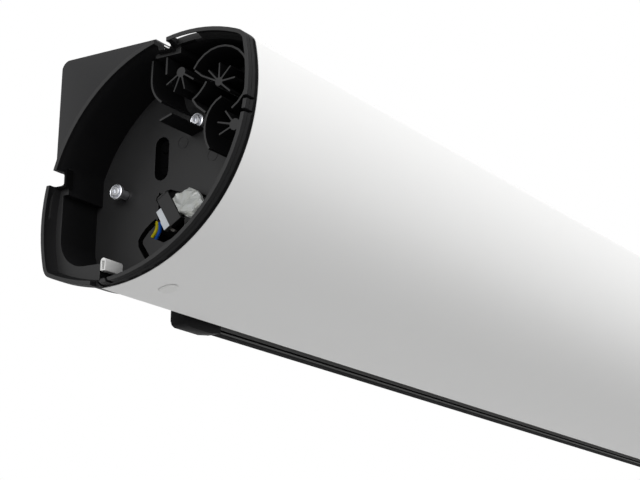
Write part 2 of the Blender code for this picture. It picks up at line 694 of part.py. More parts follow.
def make_tongue(side, tag):
    """The tongue over the connectors: it rises from the floor, runs level and ends in a short lip."""
    half = CLIP_WIDTH / 2
    end = CLIP_LENGTH / 2
    top = FLOOR_DEPTH - CLIP_RISE
    root, shift = CLIP_ROOT
    root_half = CLIP_ROOT_WIDTH / 2
    stations = [
        (root + 0.004, FLOOR_DEPTH - 0.0002, FLOOR_DEPTH + CLIP_WALL, root_half, shift),
        (root, FLOOR_DEPTH - 0.0006, FLOOR_DEPTH + CLIP_WALL * 0.8, root_half, shift),
        (end, top, top + CLIP_WALL, half, 0.0),
        (-end + CLIP_WALL, top, top + CLIP_WALL, half, 0.0),
        (-end + CLIP_WALL, top, top + CLIP_LIP, half, 0.0),
        (-end, top + 0.0004, top + CLIP_LIP, half, 0.0),
    ]

    def make(bm):
        rows = []
        for along, low, high, width, across in stations:
            corners = [(low, across - width), (low, across + width), (high, across + width), (high, across - width)]
            rows.append([bm.verts.new((station(side, depth), *clip_point(along, c))) for depth, c in corners])
        bm.faces.new(rows[0])
        bm.faces.new(rows[-1])
        for a, b in zip(rows, rows[1:]):
            for i in range(4):
                j = (i + 1) % 4
                ring_points = []
                for v in (a[i], a[j], b[j], b[i]):
                    if all((v.co - w.co).length > 1e-7 for w in ring_points):
                        ring_points.append(v)
                if len(ring_points) > 2:
                    bm.faces.new(ring_points)
        bmesh.ops.remove_doubles(bm, verts=bm.verts, dist=1e-7)
    return solid("tongue_" + tag, make, None)


def top_notch(depth, wall=0.0, radius=0.0):
    """The notch in the roof of a housing that lets the bracket's tongue into the top track."""
    half = TRACK_MOUTH / 2 + wall
    low = roof(TOP_TRACK_Y) - depth - wall
    left, right = TOP_TRACK_Y - half, TOP_TRACK_Y + half
    if not radius:
        return box_outline(left, right, low, 0.02)
    floor = arc((left + radius, low + radius), radius, 180, 270, 30) + arc((right - radius, low + radius), radius, 270, 360, 30)
    return floor + [(right, 0.02), (left, 0.02)]


def back_notch(depth, wall=0.0, radius=0.0):
    half = TRACK_MOUTH / 2 + wall
    deep = back(BACK_TRACK_Z) - depth - wall
    low, high = BACK_TRACK_Z - half, BACK_TRACK_Z + half
    if not radius:
        return box_outline(deep, 0.02, low, high)
    floor = arc((deep + radius, high - radius), radius, 90, 180, 30) + arc((deep + radius, low + radius), radius, 180, 270, 30)
    return floor + [(0.02, low), (0.02, high)]


def make_housing(side):
    tag = "left" if side == LEFT else "right"

    def at(depth):
        return station(side, depth)

    housing = prism("end_housing_" + tag, end_outline(0.0), at(0), at(COLLAR_DEPTH), BLACK_MOULDING)
    body = prism("housing_body_" + tag, end_outline(PLUG_WALL_INSET), at(COLLAR_DEPTH - 0.0005), at(FLOOR_BACK_DEPTH))
    unite(housing, body)
    rows = [(-0.01, end_outline(RIM_WALL)), (RIM_STRAIGHT, end_outline(RIM_WALL)), (LEDGE_DEPTH, end_outline(CHAMBER_INSET))]
    recess = solid("rim_recess_" + tag, lambda bm: add_loft(bm, side, rows), None)
    chamber = prism("chamber_" + tag, chamber_outline(), at(LEDGE_DEPTH - 0.001), at(FLOOR_DEPTH))
    wall = HOUSING_CLEARANCE + TRACK_COVER_WALL
    far = -0.02
    near, end = at(NOTCH_FLOOR_DEPTH), at(RELIEF_DEPTH + 0.0010)
    notches = [prism("notch_wall_top_" + tag, top_notch(TOP_NOTCH_DEPTH, NOTCH_WALL), near, end),
               prism("notch_wall_back_" + tag, back_notch(BACK_NOTCH_DEPTH, NOTCH_WALL), near, end)]
    keeps = [prism("track_keep_top_" + tag, track_block_top(wall, far), at(LEDGE_DEPTH - 0.003), at(0.06)),
             prism("track_keep_back_" + tag, track_block_back(wall, far), at(LEDGE_DEPTH - 0.003), at(0.06))]
    cut(recess, *notches)
    cut(chamber, *notches, *keeps)
    cut(housing, recess, chamber)

    def reliefs(bm):
        x0, x1 = at(RELIEF_DEPTH), at(0.06)
        add_prism(bm, track_block_top(HOUSING_CLEARANCE, far), x0, x1)
        add_prism(bm, track_block_back(HOUSING_CLEARANCE, far), x0, x1)
        flange_top = BACK_LIP_Z + BACK_FLANGE_WALL + HOUSING_CLEARANCE
        flange_tip = skin_path(0.0)[-1][0] - BACK_FLANGE_REACH - HOUSING_CLEARANCE
        add_prism(bm, box_outline(flange_tip, 0.01, LIP_Z - 0.01, flange_top), x0, x1)
        lip_low = LIP_Y - LIP_RETURN_WALL - HOUSING_CLEARANCE
        lip_top = LIP_Z + LIP_RETURN_HEIGHT + HOUSING_CLEARANCE
        add_prism(bm, box_outline(lip_low, LIP_Y + HOUSING_CLEARANCE, LIP_Z - 0.01, lip_top), x0, x1)
    cut(housing, solid("reliefs_" + tag, reliefs, None))

    def rim_cuts(bm):
        x0 = at(-0.01)
        add_prism(bm, top_notch(TOP_NOTCH_DEPTH, 0.0, TOP_NOTCH_CORNER), x0, at(RELIEF_DEPTH + 0.0004))
        add_prism(bm, back_notch(BACK_NOTCH_DEPTH, 0.0, BACK_NOTCH_CORNER), x0, at(COLLAR_DEPTH + 0.0002))
        for z in SNAP_CUT_HEIGHTS:
            w = SNAP_CUT_WIDTH / 2
            cut_end = FOREMOST_Y + RIM_WALL * 2.5
            add_prism(bm, box_outline(FOREMOST_Y - 0.01, cut_end, z - w, z + w), x0, at(LEDGE_DEPTH))
        window = box_outline(RIM_WINDOW_Y[0], RIM_WINDOW_Y[1], roof(RIM_WINDOW_Y[0]) - RIM_WALL * 2.2, 0.02)
        add_prism(bm, window, at(RIM_WINDOW_DEPTHS[0]), at(RIM_WINDOW_DEPTHS[1]))
        slit = box_outline(back(RIM_SLIT_Z[0]) - RIM_WALL * 1.8, 0.02, RIM_SLIT_Z[0], RIM_SLIT_Z[1])
        add_prism(bm, slit, at(RIM_SLIT_DEPTHS[0]), at(RIM_SLIT_DEPTHS[1]))
        foot = box_outline(FOOT_CUT_Y[0], FOOT_CUT_Y[1], LIP_Z - 0.01, LIP_Z + FOOT_CUT_HEIGHT)
        add_prism(bm, foot, x0, at(COLLAR_DEPTH * 0.8))
    cut(housing, solid("rim_cuts_" + tag, rim_cuts, None))
    cut(housing, prism("back_track_end_" + tag, back_notch(TOP_NOTCH_DEPTH), at(COLLAR_DEPTH - 0.0010), at(RELIEF_DEPTH + 0.0004)))
    unite(housing, make_ribs(side, tag))

    def floor_cuts(bm):
        x0, x1 = at(FLOOR_DEPTH - 0.002), at(FLOOR_BACK_DEPTH + 0.002)
        add_prism(bm, stadium(AXIS, ACCESS_SLOT_WIDTH, ACCESS_SLOT_HEIGHT), x0, x1)
        for bolt in (BOLT_FRONT, BOLT_BACK):
            add_prism(bm, arc(bolt, BOLT_SHANK_RADIUS + GAP, 0, 330, 30), x0, x1)
        add_prism(bm, OPENING, x0, x1)
    cut(housing, solid("floor_cuts_" + tag, floor_cuts, None))
    slit = strip_outline(slit_path(), SLIT_WIDTH)
    cut(housing, prism("slit_" + tag, slit, at(FLOOR_DEPTH - 0.002), at(FLOOR_BACK_DEPTH + 0.002)))
    unite(housing, make_tongue(side, tag))
    shade(housing, 25)
    return housing


def make_cover_catch(side):
    """The light grey sleeve at the front of the housing's foot, which takes the end cover's tongue."""
    name = "cover_catch_left" if side == LEFT else "cover_catch_right"
    y1 = CHAMBER_STEP_Y - GAP
    y0 = y1 - CATCH_WIDTH
    z0 = LIP_Z + 0.0098
    z1 = z0 + CATCH_HEIGHT
    x0, x1 = station(side, COLLAR_DEPTH), station(side, COLLAR_DEPTH + CATCH_LENGTH)
    outline = [(y0, z0), (y1, z0)] + arc((y1 - CATCH_WIDTH / 2, z1 - CATCH_WIDTH / 2), CATCH_WIDTH / 2, 0, 180, 45)
    catch = prism(name, outline, x0, x1, GREY_PLASTIC)
    w = CATCH_WALL
    bore = box_outline(y0 + w, y1 - w, z0 + w, z1 - CATCH_WIDTH / 2)
    return cut(catch, prism(name + "_bore", bore, x0 - side * -0.01, x1))


def make_end_cover():
    """The moulded cover that closes the right housing."""
    def at(depth):
        return station(RIGHT, depth)

    rows = [(-GAP, 0.0), (-COVER_WALL * 0.6, 0.0), (-COVER_WALL * 0.9, 0.0012), (-COVER_WALL, 0.0030)]

    def make(bm):
        add_loft(bm, RIGHT, [(depth, end_outline(inset)) for depth, inset in rows])
    cover = solid("end_cover_right", make, BLACK_MOULDING)

    skirt = prism("cover_skirt", end_outline(RIM_WALL + HOUSING_CLEARANCE), at(-GAP * 2), at(RIM_STRAIGHT))
    cut(skirt, prism("cover_hollow", end_outline(RIM_WALL + HOUSING_CLEARANCE + 0.0016), at(-0.0001), at(0.02)))

    def notches(bm):
        add_prism(bm, top_notch(TOP_NOTCH_DEPTH, HOUSING_CLEARANCE), at(-0.0001), at(0.02))
        add_prism(bm, back_notch(BACK_NOTCH_DEPTH, HOUSING_CLEARANCE), at(-0.0001), at(0.02))
    cut(skirt, solid("cover_notches", notches, None))
    unite(cover, skirt)
    shade(cover, 25)
    return cover


# Drive and roller

def hull(points):
    """Convex outline round points."""
    points = sorted(set((round(p[0], 6), round(p[1], 6)) for p in points))

    def half(run):
        chain = []
        for p in run:
            while len(chain) > 1:
                a, b = chain[-2], chain[-1]
                if (b[0] - a[0]) * (p[1] - a[1]) - (b[1] - a[1]) * (p[0] - a[0]) > 1e-12:
                    break
                chain.pop()
            chain.append(p)
        return chain[:-1]
    return half(points) + half(points[::-1])


def make_end_plate(side, name):
    """The steel plate behind a housing's floor that carries the motor or the idler."""
    x0, x1 = station(side, PLATE_DEPTH), station(side, PLATE_DEPTH + PLATE_THICKNESS)
    points = arc(AXIS, MOTOR_HEAD_RADIUS, 0, 360, 12)
    for bolt in (BOLT_FRONT, BOLT_BACK):
        points += arc(bolt, 0.008, 0, 360, 20)
    plate = prism(name, hull(points), x0, x1, ZINC)

    def holes(bm):
        a, b = station(side, PLATE_DEPTH - 0.002), station(side, PLATE_DEPTH + PLATE_THICKNESS + 0.002)
        add_prism(bm, stadium(AXIS, ACCESS_SLOT_WIDTH, ACCESS_SLOT_HEIGHT), a, b)
        for bolt in (BOLT_FRONT, BOLT_BACK):
            add_prism(bm, arc(bolt, BOLT_SHANK_RADIUS + GAP, 0, 330, 30), a, b)
    return cut(plate, solid(name + "_holes", holes, None))


def make_bolt(side, name, centre, head=None):
    """A screw with a round flange and a small drive head; without a head depth it's seated on the floor."""
    def at(depth):
        return station(side, depth)
    seat = FLOOR_DEPTH - GAP
    front = head or seat - BOLT_HEAD_HEIGHT - BOLT_FLANGE_THICKNESS
    flange = front + BOLT_HEAD_HEIGHT
    flange_back = flange + BOLT_FLANGE_THICKNESS
    end = PLATE_DEPTH + PLATE_THICKNESS + BOLT_REACH
    recess = BOLT_HEAD_RADIUS * 0.5
    profile = [(at(front + 0.001), 0), (at(front + 0.001), recess), (at(front), recess),
               (at(front), BOLT_HEAD_RADIUS * 0.9), (at(front + 0.0004), BOLT_HEAD_RADIUS),
               (at(flange), BOLT_HEAD_RADIUS), (at(flange), BOLT_FLANGE_RADIUS), (at(flange_back), BOLT_FLANGE_RADIUS),
               (at(flange_back), BOLT_SHANK_RADIUS), (at(end), BOLT_SHANK_RADIUS), (at(end), 0)]
    return turned(name, profile, ZINC, centre, 20)


def make_motor_head():
    """The motor's fixed head: a round body with a slot-shaped spigot that holds the two limit buttons."""
    def at(depth):
        return station(LEFT, depth)
    back_depth = HEAD_DEPTH + MOTOR_HEAD_LENGTH
    r = MOTOR_HEAD_RADIUS
    profile = [(at(HEAD_DEPTH), 0), (at(HEAD_DEPTH), r - 0.002), (at(HEAD_DEPTH + 0.002), r), (at(back_depth - 0.004), r),
               (at(back_depth - 0.004), r - 0.0025), (at(back_depth), r - 0.0025), (at(back_depth), 0)]
    head = turned("motor_head", profile, MOTOR_PAINT, AXIS, 40)
    outline = stadium(AXIS, ACCESS_SLOT_WIDTH - 4 * GAP, ACCESS_SLOT_HEIGHT - 4 * GAP)
    unite(head, prism("head_spigot", outline, at(PLATE_DEPTH + SPIGOT_SETBACK), at(HEAD_DEPTH + 0.003)))

    def bores(bm):
        for centre in button_centres():
            add_prism(bm, arc(centre, BUTTON_RADIUS + GAP, 0, 330, 30), at(PLATE_DEPTH - 0.002), at(button_base() + BUTTON_STROKE + GAP))
    cut(head, solid("button_bores", bores, None))
    return head


def button_centres():
    return [(AXIS[0], AXIS[1] + BUTTON_SPACING / 2), (AXIS[0], AXIS[1] - BUTTON_SPACING / 2)]


def button_base():
    """Depth of a released button's inner end."""
    return PLATE_DEPTH + 0.0040


def make_limit_buttons():
    for name, centre in zip(("limit_button_up", "limit_button_down"), button_centres()):
        front = PLATE_DEPTH + SPIGOT_SETBACK - BUTTON_PROUD
        x0, x1 = station(LEFT, front), station(LEFT, button_base())
        soft = station(LEFT, front + 0.0005)
        r = BUTTON_RADIUS
        profile = [(x0, 0), (x0, r * 0.7), (soft, r), (x1, r), (x1, 0)]
        turned(name, profile, GREY_PLASTIC, centre, 16)


def make_motor():
    x0 = station(LEFT, MOTOR_DEPTH)
    x1 = x0 + MOTOR_LENGTH
    r = MOTOR_RADIUS
    profile = [(x0, 0), (x0, r), (x1 - 0.002, r), (x1, r - 0.002), (x1, 0)]
    turned("motor_tube", profile, ALUMINIUM, AXIS, 36)
    shaft0 = x1 + GAP
    rod("motor_output_shaft", shaft0, shaft0 + OUTPUT_SHAFT_LENGTH, OUTPUT_SHAFT_RADIUS, ZINC, AXIS, 20)
    wheel0 = shaft0 + (OUTPUT_SHAFT_LENGTH - DRIVE_WHEEL_LENGTH) / 2
    wheel = ring("drive_wheel", wheel0, wheel0 + DRIVE_WHEEL_LENGTH, OUTPUT_SHAFT_RADIUS + GAP, DRIVE_RADIUS,
                 BLACK_MOULDING, AXIS, 40)

    def windows(bm):
        for i in range(6):
            a = radians(60 * i)
            middle = (AXIS[0] + 0.0135 * cos(a), AXIS[1] + 0.0135 * sin(a))
            add_prism(bm, arc(middle, 0.0042, 0, 315, 45), wheel0 - 0.01, wheel0 + DRIVE_WHEEL_LENGTH + 0.01)
    cut(wheel, solid("wheel_windows", windows, None))
    crown0 = station(LEFT, TUBE_END_DEPTH + 0.001)
    ring("crown_ring", crown0, crown0 + CROWN_LENGTH, MOTOR_RADIUS + GAP, DRIVE_RADIUS, BLACK_MOULDING, AXIS, 40)


def make_roller():
    x0, x1 = station(LEFT, TUBE_END_DEPTH), station(RIGHT, TUBE_END_DEPTH)
    ring("roller_tube", x0, x1, TUBE_BORE, TUBE_RADIUS, ALUMINIUM, AXIS, 48)
    half = FABRIC_WIDTH / 2
    ring("fabric_roll", -half, half, TUBE_RADIUS + GAP, ROLL_RADIUS, SCREEN_FABRIC, AXIS, 48)


def make_idler():
    def at(depth):
        return station(RIGHT, depth)
    holder = turned("idler_holder", [(at(HEAD_DEPTH), 0.0085), (at(HEAD_DEPTH), MOTOR_HEAD_RADIUS),
                                     (at(HEAD_DEPTH + 0.012), MOTOR_HEAD_RADIUS - 0.001),
                                     (at(HEAD_DEPTH + 0.012), BEARING_RADIUS + GAP),
                                     (at(HEAD_DEPTH + 0.002), BEARING_RADIUS + GAP),
                                     (at(HEAD_DEPTH + 0.002), 0.0085)], BLACK_MOULDING, AXIS, 40)
    bearing0 = HEAD_DEPTH + 0.002 + GAP
    ring("idler_bearing", at(bearing0), at(bearing0 + BEARING_WIDTH), SPINDLE_RADIUS + GAP, BEARING_RADIUS, ZINC, AXIS, 36)
    plug0 = TUBE_END_DEPTH
    ring("idler_plug", at(plug0), at(plug0 + IDLER_PLUG_LENGTH), SPINDLE_RADIUS + GAP, DRIVE_RADIUS, BLACK_MOULDING, AXIS, 40)
    rod("idler_spindle", at(bearing0), at(plug0 + IDLER_PLUG_LENGTH - 0.004), SPINDLE_RADIUS, ZINC, AXIS, 20)
    return holder


# Fabric below the roll and the slat bar

def make_fabric_strip():
    y0, y1 = FABRIC_Y - FABRIC_THICKNESS / 2, FABRIC_Y + FABRIC_THICKNESS / 2
    low = hem_centre()[1] + HEM_ROD_RADIUS + GAP
    half = FABRIC_WIDTH / 2
    prism("fabric_strip", box_outline(y0, y1, low, AXIS[1]), -half, half, SCREEN_FABRIC)


def hem_centre():
    return FABRIC_Y, SLAT_TOP - SLAT_WALL - HEM_ROD_RADIUS - 2 * GAP


def slat_section():
    """Two channels, one above the other: the upper one is open at the top and holds the hem rod."""
    y0, y1 = FABRIC_Y - SLAT_THICKNESS / 2, FABRIC_Y + SLAT_THICKNESS / 2
    z0, z1 = SLAT_BOTTOM, SLAT_TOP
    w = SLAT_WALL
    mouth = FABRIC_THICKNESS / 2 + 2 * GAP
    pocket = z1 - w - 2 * HEM_ROD_RADIUS - 4 * GAP
    groove = 0.0010
    groove_z = z0 + 0.0012
    r = 0.0008
    outer = [(y0 + r, z0), (y1 - r, z0), (y1, z0 + r), (y1, z1 - r), (y1 - r, z1), (FABRIC_Y + mouth, z1),
             (FABRIC_Y + mouth, z1 - w), (y1 - w, z1 - w), (y1 - w, pocket), (y0 + w, pocket), (y0 + w, z1 - w),
             (FABRIC_Y - mouth, z1 - w), (FABRIC_Y - mouth, z1), (y0 + r, z1), (y0, z1 - r),
             (y0, groove_z + groove), (y0 + groove, groove_z + groove), (y0 + groove, groove_z), (y0, groove_z),
             (y0, z0 + r)]
    hollow = box_outline(y0 + w + 0.0004, y1 - w, z0 + w + 0.0012, pocket - w)
    return outer, hollow


def make_slat():
    end = SLAT_END_DEPTH + SLAT_CAP_LENGTH - 0.012
    x0, x1 = station(LEFT, end), station(RIGHT, end)
    outer, hollow = slat_section()
    bar = prism("slat_bar", outer, x0, x1, BLACK_BAR)
    cut(bar, prism("slat_hollow", hollow, x0 - 0.01, x1 + 0.01))
    centre = hem_centre()
    rod("hem_rod", x0 + 0.001, x1 - 0.001, HEM_ROD_RADIUS, GREY_PLASTIC, centre, 12)
    for side in (LEFT, RIGHT):
        make_slat_cap(side)


def make_slat_cap(side):
    """A moulded cap that sleeves over the end of the bar; its keel is deeper than the bar and tapers up to it."""
    name = "slat_cap_left" if side == LEFT else "slat_cap_right"
    p = SLAT_CAP_PROUD
    y0, y1 = FABRIC_Y - SLAT_THICKNESS / 2 - p, FABRIC_Y + SLAT_THICKNESS / 2 + p
    top, low = SLAT_TOP + p, SLAT_BOTTOM - SLAT_CAP_DROP
    inner, outer = SLAT_END_DEPTH + SLAT_CAP_LENGTH, SLAT_END_DEPTH
    r = 0.0022

    def side_view():
        points = [(inner, top), (outer + r, top), (outer, top - r), (outer, low + 1.6 * r), (outer + 0.6 * r, low + 0.5 * r),
                  (outer + 1.8 * r, low), (inner - SLAT_CAP_TAPER, low), (inner, SLAT_BOTTOM - 0.0004)]
        return [(station(side, d), z) for d, z in points]

    def make(bm):
        front = [bm.verts.new((x, y0, z)) for x, z in side_view()]
        rear = [bm.verts.new((x, y1, z)) for x, z in side_view()]
        bm.faces.new(front)
        bm.faces.new(rear)
        for i in range(len(front)):
            j = (i + 1) % len(front)
            bm.faces.new((front[i], front[j], rear[j], rear[i]))
    cap = solid(name, make, BLACK_MOULDING)
    c = GAP
    socket = box_outline(FABRIC_Y - SLAT_THICKNESS / 2 - c, FABRIC_Y + SLAT_THICKNESS / 2 + c, SLAT_BOTTOM - c / 2, SLAT_TOP + c)
    socket_depth = SLAT_END_DEPTH + SLAT_CAP_LENGTH - 0.012 - c
    cut(cap, prism(name + "_socket", socket, station(side, socket_depth), station(side, inner + 0.01)))
    throat = box_outline(FABRIC_Y - 0.0012, FABRIC_Y + 0.0012, SLAT_TOP - 0.002, SLAT_TOP + 0.01)
    cut(cap, prism(name + "_throat", throat, station(side, FABRIC_TO_RIM - GAP), station(side, inner + 0.01)))
    return cap


# Brackets

def bracket_web():
    """The web fills the corner between the case's crown, the wall and the ceiling."""
    radius = CROWN_RADIUS + BRACKET_CLEARANCE
    start = degrees(asin((BRACKET_LOW_Z - CROWN_CENTRE[1]) / radius))
    end = degrees(acos((BRACKET_FRONT_Y - CROWN_CENTRE[0]) / radius))
    inner = arc(CROWN_CENTRE, radius, start, end)
    r = BRACKET_CORNER
    outer = [(BRACKET_FRONT_Y, 0.0)] + arc((-r, -r), r, 90, 0, 15) + [(0.0, BRACKET_LOW_Z)]
    return inner + outer


def make_bracket(side):
    """Folded steel: a web, a ceiling flange and a wall flange, each flange ending in a hook for a T track."""
    tag = "left" if side == LEFT else "right"

    def at(depth):
        return station(side, BRACKET_DEPTH + depth)
    t = BRACKET_STEEL
    bracket = prism("bracket_" + tag, bracket_web(), at(0), at(t), BLACK_STEEL)
    r = BRACKET_CORNER
    hook_top = roof(TOP_TRACK_Y) - TRACK_LIP - GAP
    hook_back = back(BACK_TRACK_Z) - TRACK_LIP - GAP

    def flanges(bm):
        far = at(BRACKET_LENGTH)
        ceiling = [(BRACKET_FRONT_Y, -t), (BRACKET_FRONT_Y, 0.0)] + arc((-r, -r), r, 90, 0, 15)
        ceiling += [(0.0, BRACKET_LOW_Z), (-t, BRACKET_LOW_Z)] + arc((-r, -r), r - t, 0, 90, 30)
        add_prism(bm, ceiling, at(t / 2), far)
        near = at(TONGUE_SETBACK)
        y = TOP_TRACK_Y
        top_hook = [(BRACKET_FRONT_Y + 0.002, 0.0), (y - t / 2, 0.0), (y - t / 2, hook_top),
                    (y - t / 2 - TONGUE_TOE, hook_top), (y - t / 2 - TONGUE_TOE, hook_top - t * 0.9),
                    (y + t / 2, hook_top - t * 0.9), (y + t / 2, -t), (BRACKET_FRONT_Y + 0.002, -t)]
        add_prism(bm, top_hook, near, far)
        z = BACK_TRACK_Z
        back_hook = [(0.0, BRACKET_LOW_Z + 0.002), (0.0, z - t / 2), (hook_back, z - t / 2),
                     (hook_back, z - t / 2 - TONGUE_TOE), (hook_back - t * 0.9, z - t / 2 - TONGUE_TOE),
                     (hook_back - t * 0.9, z + t / 2), (-t, z + t / 2), (-t, BRACKET_LOW_Z + 0.002)]
        add_prism(bm, back_hook, near, far)
        add_prism(bm, clamp_ear(), at(t / 2), at(t + CLAMP_EAR_REACH))
    unite(bracket, solid("bracket_flanges_" + tag, flanges, None))
    middle = (BRACKET_LENGTH + t) / 2 + 0.001

    def slots(bm):
        a, b = at(middle - SCREW_SLOT_LENGTH / 2), at(middle + SCREW_SLOT_LENGTH / 2)
        w = SCREW_SLOT_WIDTH / 2
        for y in CEILING_SCREWS_Y:
            add_prism(bm, box_outline(y - w, y + w, -t * 2, 0.01), a, b)
        for z in WALL_SCREWS_Z:
            add_prism(bm, box_outline(-t * 2, 0.01, z - w, z + w), a, b)
    cut(bracket, solid("bracket_slots_" + tag, slots, None))
    hole = upright("clamp_hole_" + tag, [(-0.02, 0), (-0.02, CLAMP_SCREW_RADIUS + GAP), (0.02, CLAMP_SCREW_RADIUS + GAP),
                                         (0.02, 0)], clamp_frame(side), None, 16)
    cut(bracket, hole)
    return bracket


def clamp_direction():
    """From the crown's centre towards the corner of wall and ceiling, as an angle."""
    return degrees(atan2(-CROWN_CENTRE[1], -CROWN_CENTRE[0]))


def clamp_frame(side):
    """A frame on the crown under the clamp screw; its Z points away from the case."""
    x = station(side, BRACKET_DEPTH + BRACKET_STEEL + CLAMP_EAR_REACH / 2)
    return radial_frame(CROWN_CENTRE, CROWN_RADIUS, clamp_direction(), x)


def clamp_ear():
    a = radians(clamp_direction())
    inner = CROWN_RADIUS + CLAMP_EAR_STANDOFF
    middle = (CROWN_CENTRE[0] + (inner + BRACKET_STEEL / 2) * cos(a), CROWN_CENTRE[1] + (inner + BRACKET_STEEL / 2) * sin(a))
    return turned_rectangle(middle, BRACKET_STEEL, CLAMP_EAR_WIDTH, clamp_direction(), 0.0003, 1)


def make_clamp(side):
    tag = "left" if side == LEFT else "right"
    r = CLAMP_SCREW_RADIUS
    ear = CLAMP_EAR_STANDOFF
    top = ear + BRACKET_STEEL + 0.010
    profile = [(GAP, 0), (GAP, 0.0045), (0.0018, 0.0045), (0.0018, r), (top, r), (top, 0.0048), (top + 0.004, 0.0048),
               (top + 0.004, 0)]
    upright("clamp_screw_" + tag, profile, clamp_frame(side), ZINC, 20)
    low = ear - GAP - CLAMP_NUT_HEIGHT
    bore = (r + GAP) / cos(pi / 6)
    nut = [(low, bore), (ear - GAP, bore), (ear - GAP, CLAMP_NUT_RADIUS), (low, CLAMP_NUT_RADIUS)]
    upright("clamp_nut_" + tag, nut, clamp_frame(side), ZINC, 6)


# Wiring

def make_connectors():
    """Two mated connectors under the tongue."""
    x0 = station(LEFT, FLOOR_DEPTH - CLIP_RISE + CLIP_WALL + GAP)
    x1 = station(LEFT, FLOOR_DEPTH - GAP)
    white = [(-0.0080, 0.0004), (-0.0080, 0.0095), (0.0054, 0.0095), (0.0054, 0.0004)]
    nylon = [(0.0040, 0.0), (0.0052, -0.0084), (0.0035, -0.0156), (-0.0035, -0.0191), (-0.0121, -0.0204),
             (-0.0123, -0.0142), (-0.0146, -0.0091), (-0.0101, -0.0063), (-0.0059, -0.0047), (-0.0059, 0.0)]
    prism("mains_connector", [clip_point(*p) for p in white], x0, x1, WHITE_PLASTIC)
    prism("motor_connector", [clip_point(*p) for p in nylon], x0, x1, NYLON)


def make_wire(name, order, material):
    """One insulated wire from the connector through the floor's opening to the motor head."""
    start = clip_point(0.0030 - WIRE_PITCH * order, 0.0095 + GAP)
    out = clip_point(0.0030 - WIRE_PITCH * order, 0.0120)
    side_step = WIRE_PITCH * order
    angle = radians(272 - 9 * order)
    middle = HEAD_DEPTH + MOTOR_HEAD_LENGTH * 0.4

    def below(distance):
        r = MOTOR_HEAD_RADIUS + distance
        return AXIS[0] + r * cos(angle), AXIS[1] + r * sin(angle)
    route = [
        (FLOOR_DEPTH - 0.0037, *start),
        (FLOOR_DEPTH - 0.0034, *out),
        (FLOOR_DEPTH - 0.0012, -0.0576 - side_step, -0.1046 - side_step * 0.6),
        (FLOOR_DEPTH + 0.0019, -0.0574 - side_step, -0.1070 - side_step * 0.4),
        (FLOOR_DEPTH + 0.0068, -0.0574 - side_step, -0.1045 - side_step * 0.2),
        (middle, *below(0.0060)),
        (middle, *below(GAP)),
    ]
    curve = bpy.data.curves.new(name, "CURVE")
    curve.dimensions = "3D"
    curve.bevel_depth = WIRE_RADIUS
    curve.bevel_resolution = 1
    curve.use_fill_caps = True
    points = smooth_route([Vector((station(LEFT, d), p, q)) for d, p, q in route])
    spline = curve.splines.new("POLY")
    spline.points.add(len(points) - 1)
    for slot, p in zip(spline.points, points):
        slot.co = (*p, 1.0)
    wire = bpy.data.objects.new(name, curve)
    curve.materials.append(material)
    bpy.context.scene.collection.objects.link(wire)
    return wire


def smooth_route(points, steps=3):
    """A smooth curve through the route's points."""
    padded = [points[0] * 2 - points[1]] + points + [points[-1] * 2 - points[-2]]
    smooth = []
    for i in range(1, len(padded) - 2):
        p0, p1, p2, p3 = padded[i - 1:i + 3]
        for k in range(steps):
            t = k / steps
            smooth.append(0.5 * (2 * p1 + (p2 - p0) * t + (2 * p0 - 5 * p1 + 4 * p2 - p3) * t ** 2
                                 + (3 * p1 - p0 - 3 * p2 + p3) * t ** 3))
    smooth.append(points[-1])
    return smooth


make_case()
for end in (LEFT, RIGHT):
    make_housing(end)
    make_cover_catch(end)
    make_access_plug(end)
    make_bracket(end)
    make_clamp(end)
make_end_cover()
make_end_plate(LEFT, "motor_plate")
make_end_plate(RIGHT, "idler_plate")
make_bolt(LEFT, "motor_bolt_front", BOLT_FRONT)
make_bolt(LEFT, "motor_bolt_back", BOLT_BACK, BOLT_BACK_DEPTH)
make_bolt(RIGHT, "idler_bolt_front", BOLT_FRONT)
make_bolt(RIGHT, "idler_bolt_back", BOLT_BACK, BOLT_BACK_DEPTH)
make_motor_head()
make_limit_buttons()
make_motor()
make_roller()
make_idler()
make_fabric_strip()
make_slat()
make_connectors()
make_wire("wire_brown", 0, WIRE_BROWN)
make_wire("wire_earth", 1, WIRE_EARTH)
make_wire("wire_blue", 2, WIRE_BLUE)
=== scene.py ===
"""A motorized projector screen, seen from below its open motor end, as in the photograph.

X runs along the case, -Y faces the viewers, +Y the wall and +Z the ceiling, in metres. The origin is at
mid-length, on the line where the planes of the wall and the ceiling meet.
"""

from math import acos, asin, cos, degrees, pi, radians, sin, sqrt

import bmesh
import bpy
from mathutils import Matrix, Vector


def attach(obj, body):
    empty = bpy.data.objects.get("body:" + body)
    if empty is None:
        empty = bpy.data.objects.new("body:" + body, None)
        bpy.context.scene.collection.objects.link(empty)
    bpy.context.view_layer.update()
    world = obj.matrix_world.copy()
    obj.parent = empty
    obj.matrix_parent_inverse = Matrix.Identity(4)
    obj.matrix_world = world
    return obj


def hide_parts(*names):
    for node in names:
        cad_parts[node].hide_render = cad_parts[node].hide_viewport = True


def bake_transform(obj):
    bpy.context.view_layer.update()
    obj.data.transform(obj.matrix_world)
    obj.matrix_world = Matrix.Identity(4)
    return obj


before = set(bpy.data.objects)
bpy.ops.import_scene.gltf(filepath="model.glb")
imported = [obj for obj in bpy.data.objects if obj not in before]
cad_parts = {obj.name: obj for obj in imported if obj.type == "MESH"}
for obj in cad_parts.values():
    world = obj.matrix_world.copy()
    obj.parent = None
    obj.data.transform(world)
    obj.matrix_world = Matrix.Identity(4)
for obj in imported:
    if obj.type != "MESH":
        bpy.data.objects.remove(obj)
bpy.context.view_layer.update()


# Camera: it stands below and in front of the open motor end and looks along the case through a long lens, so
# that the far end lies outside the picture.

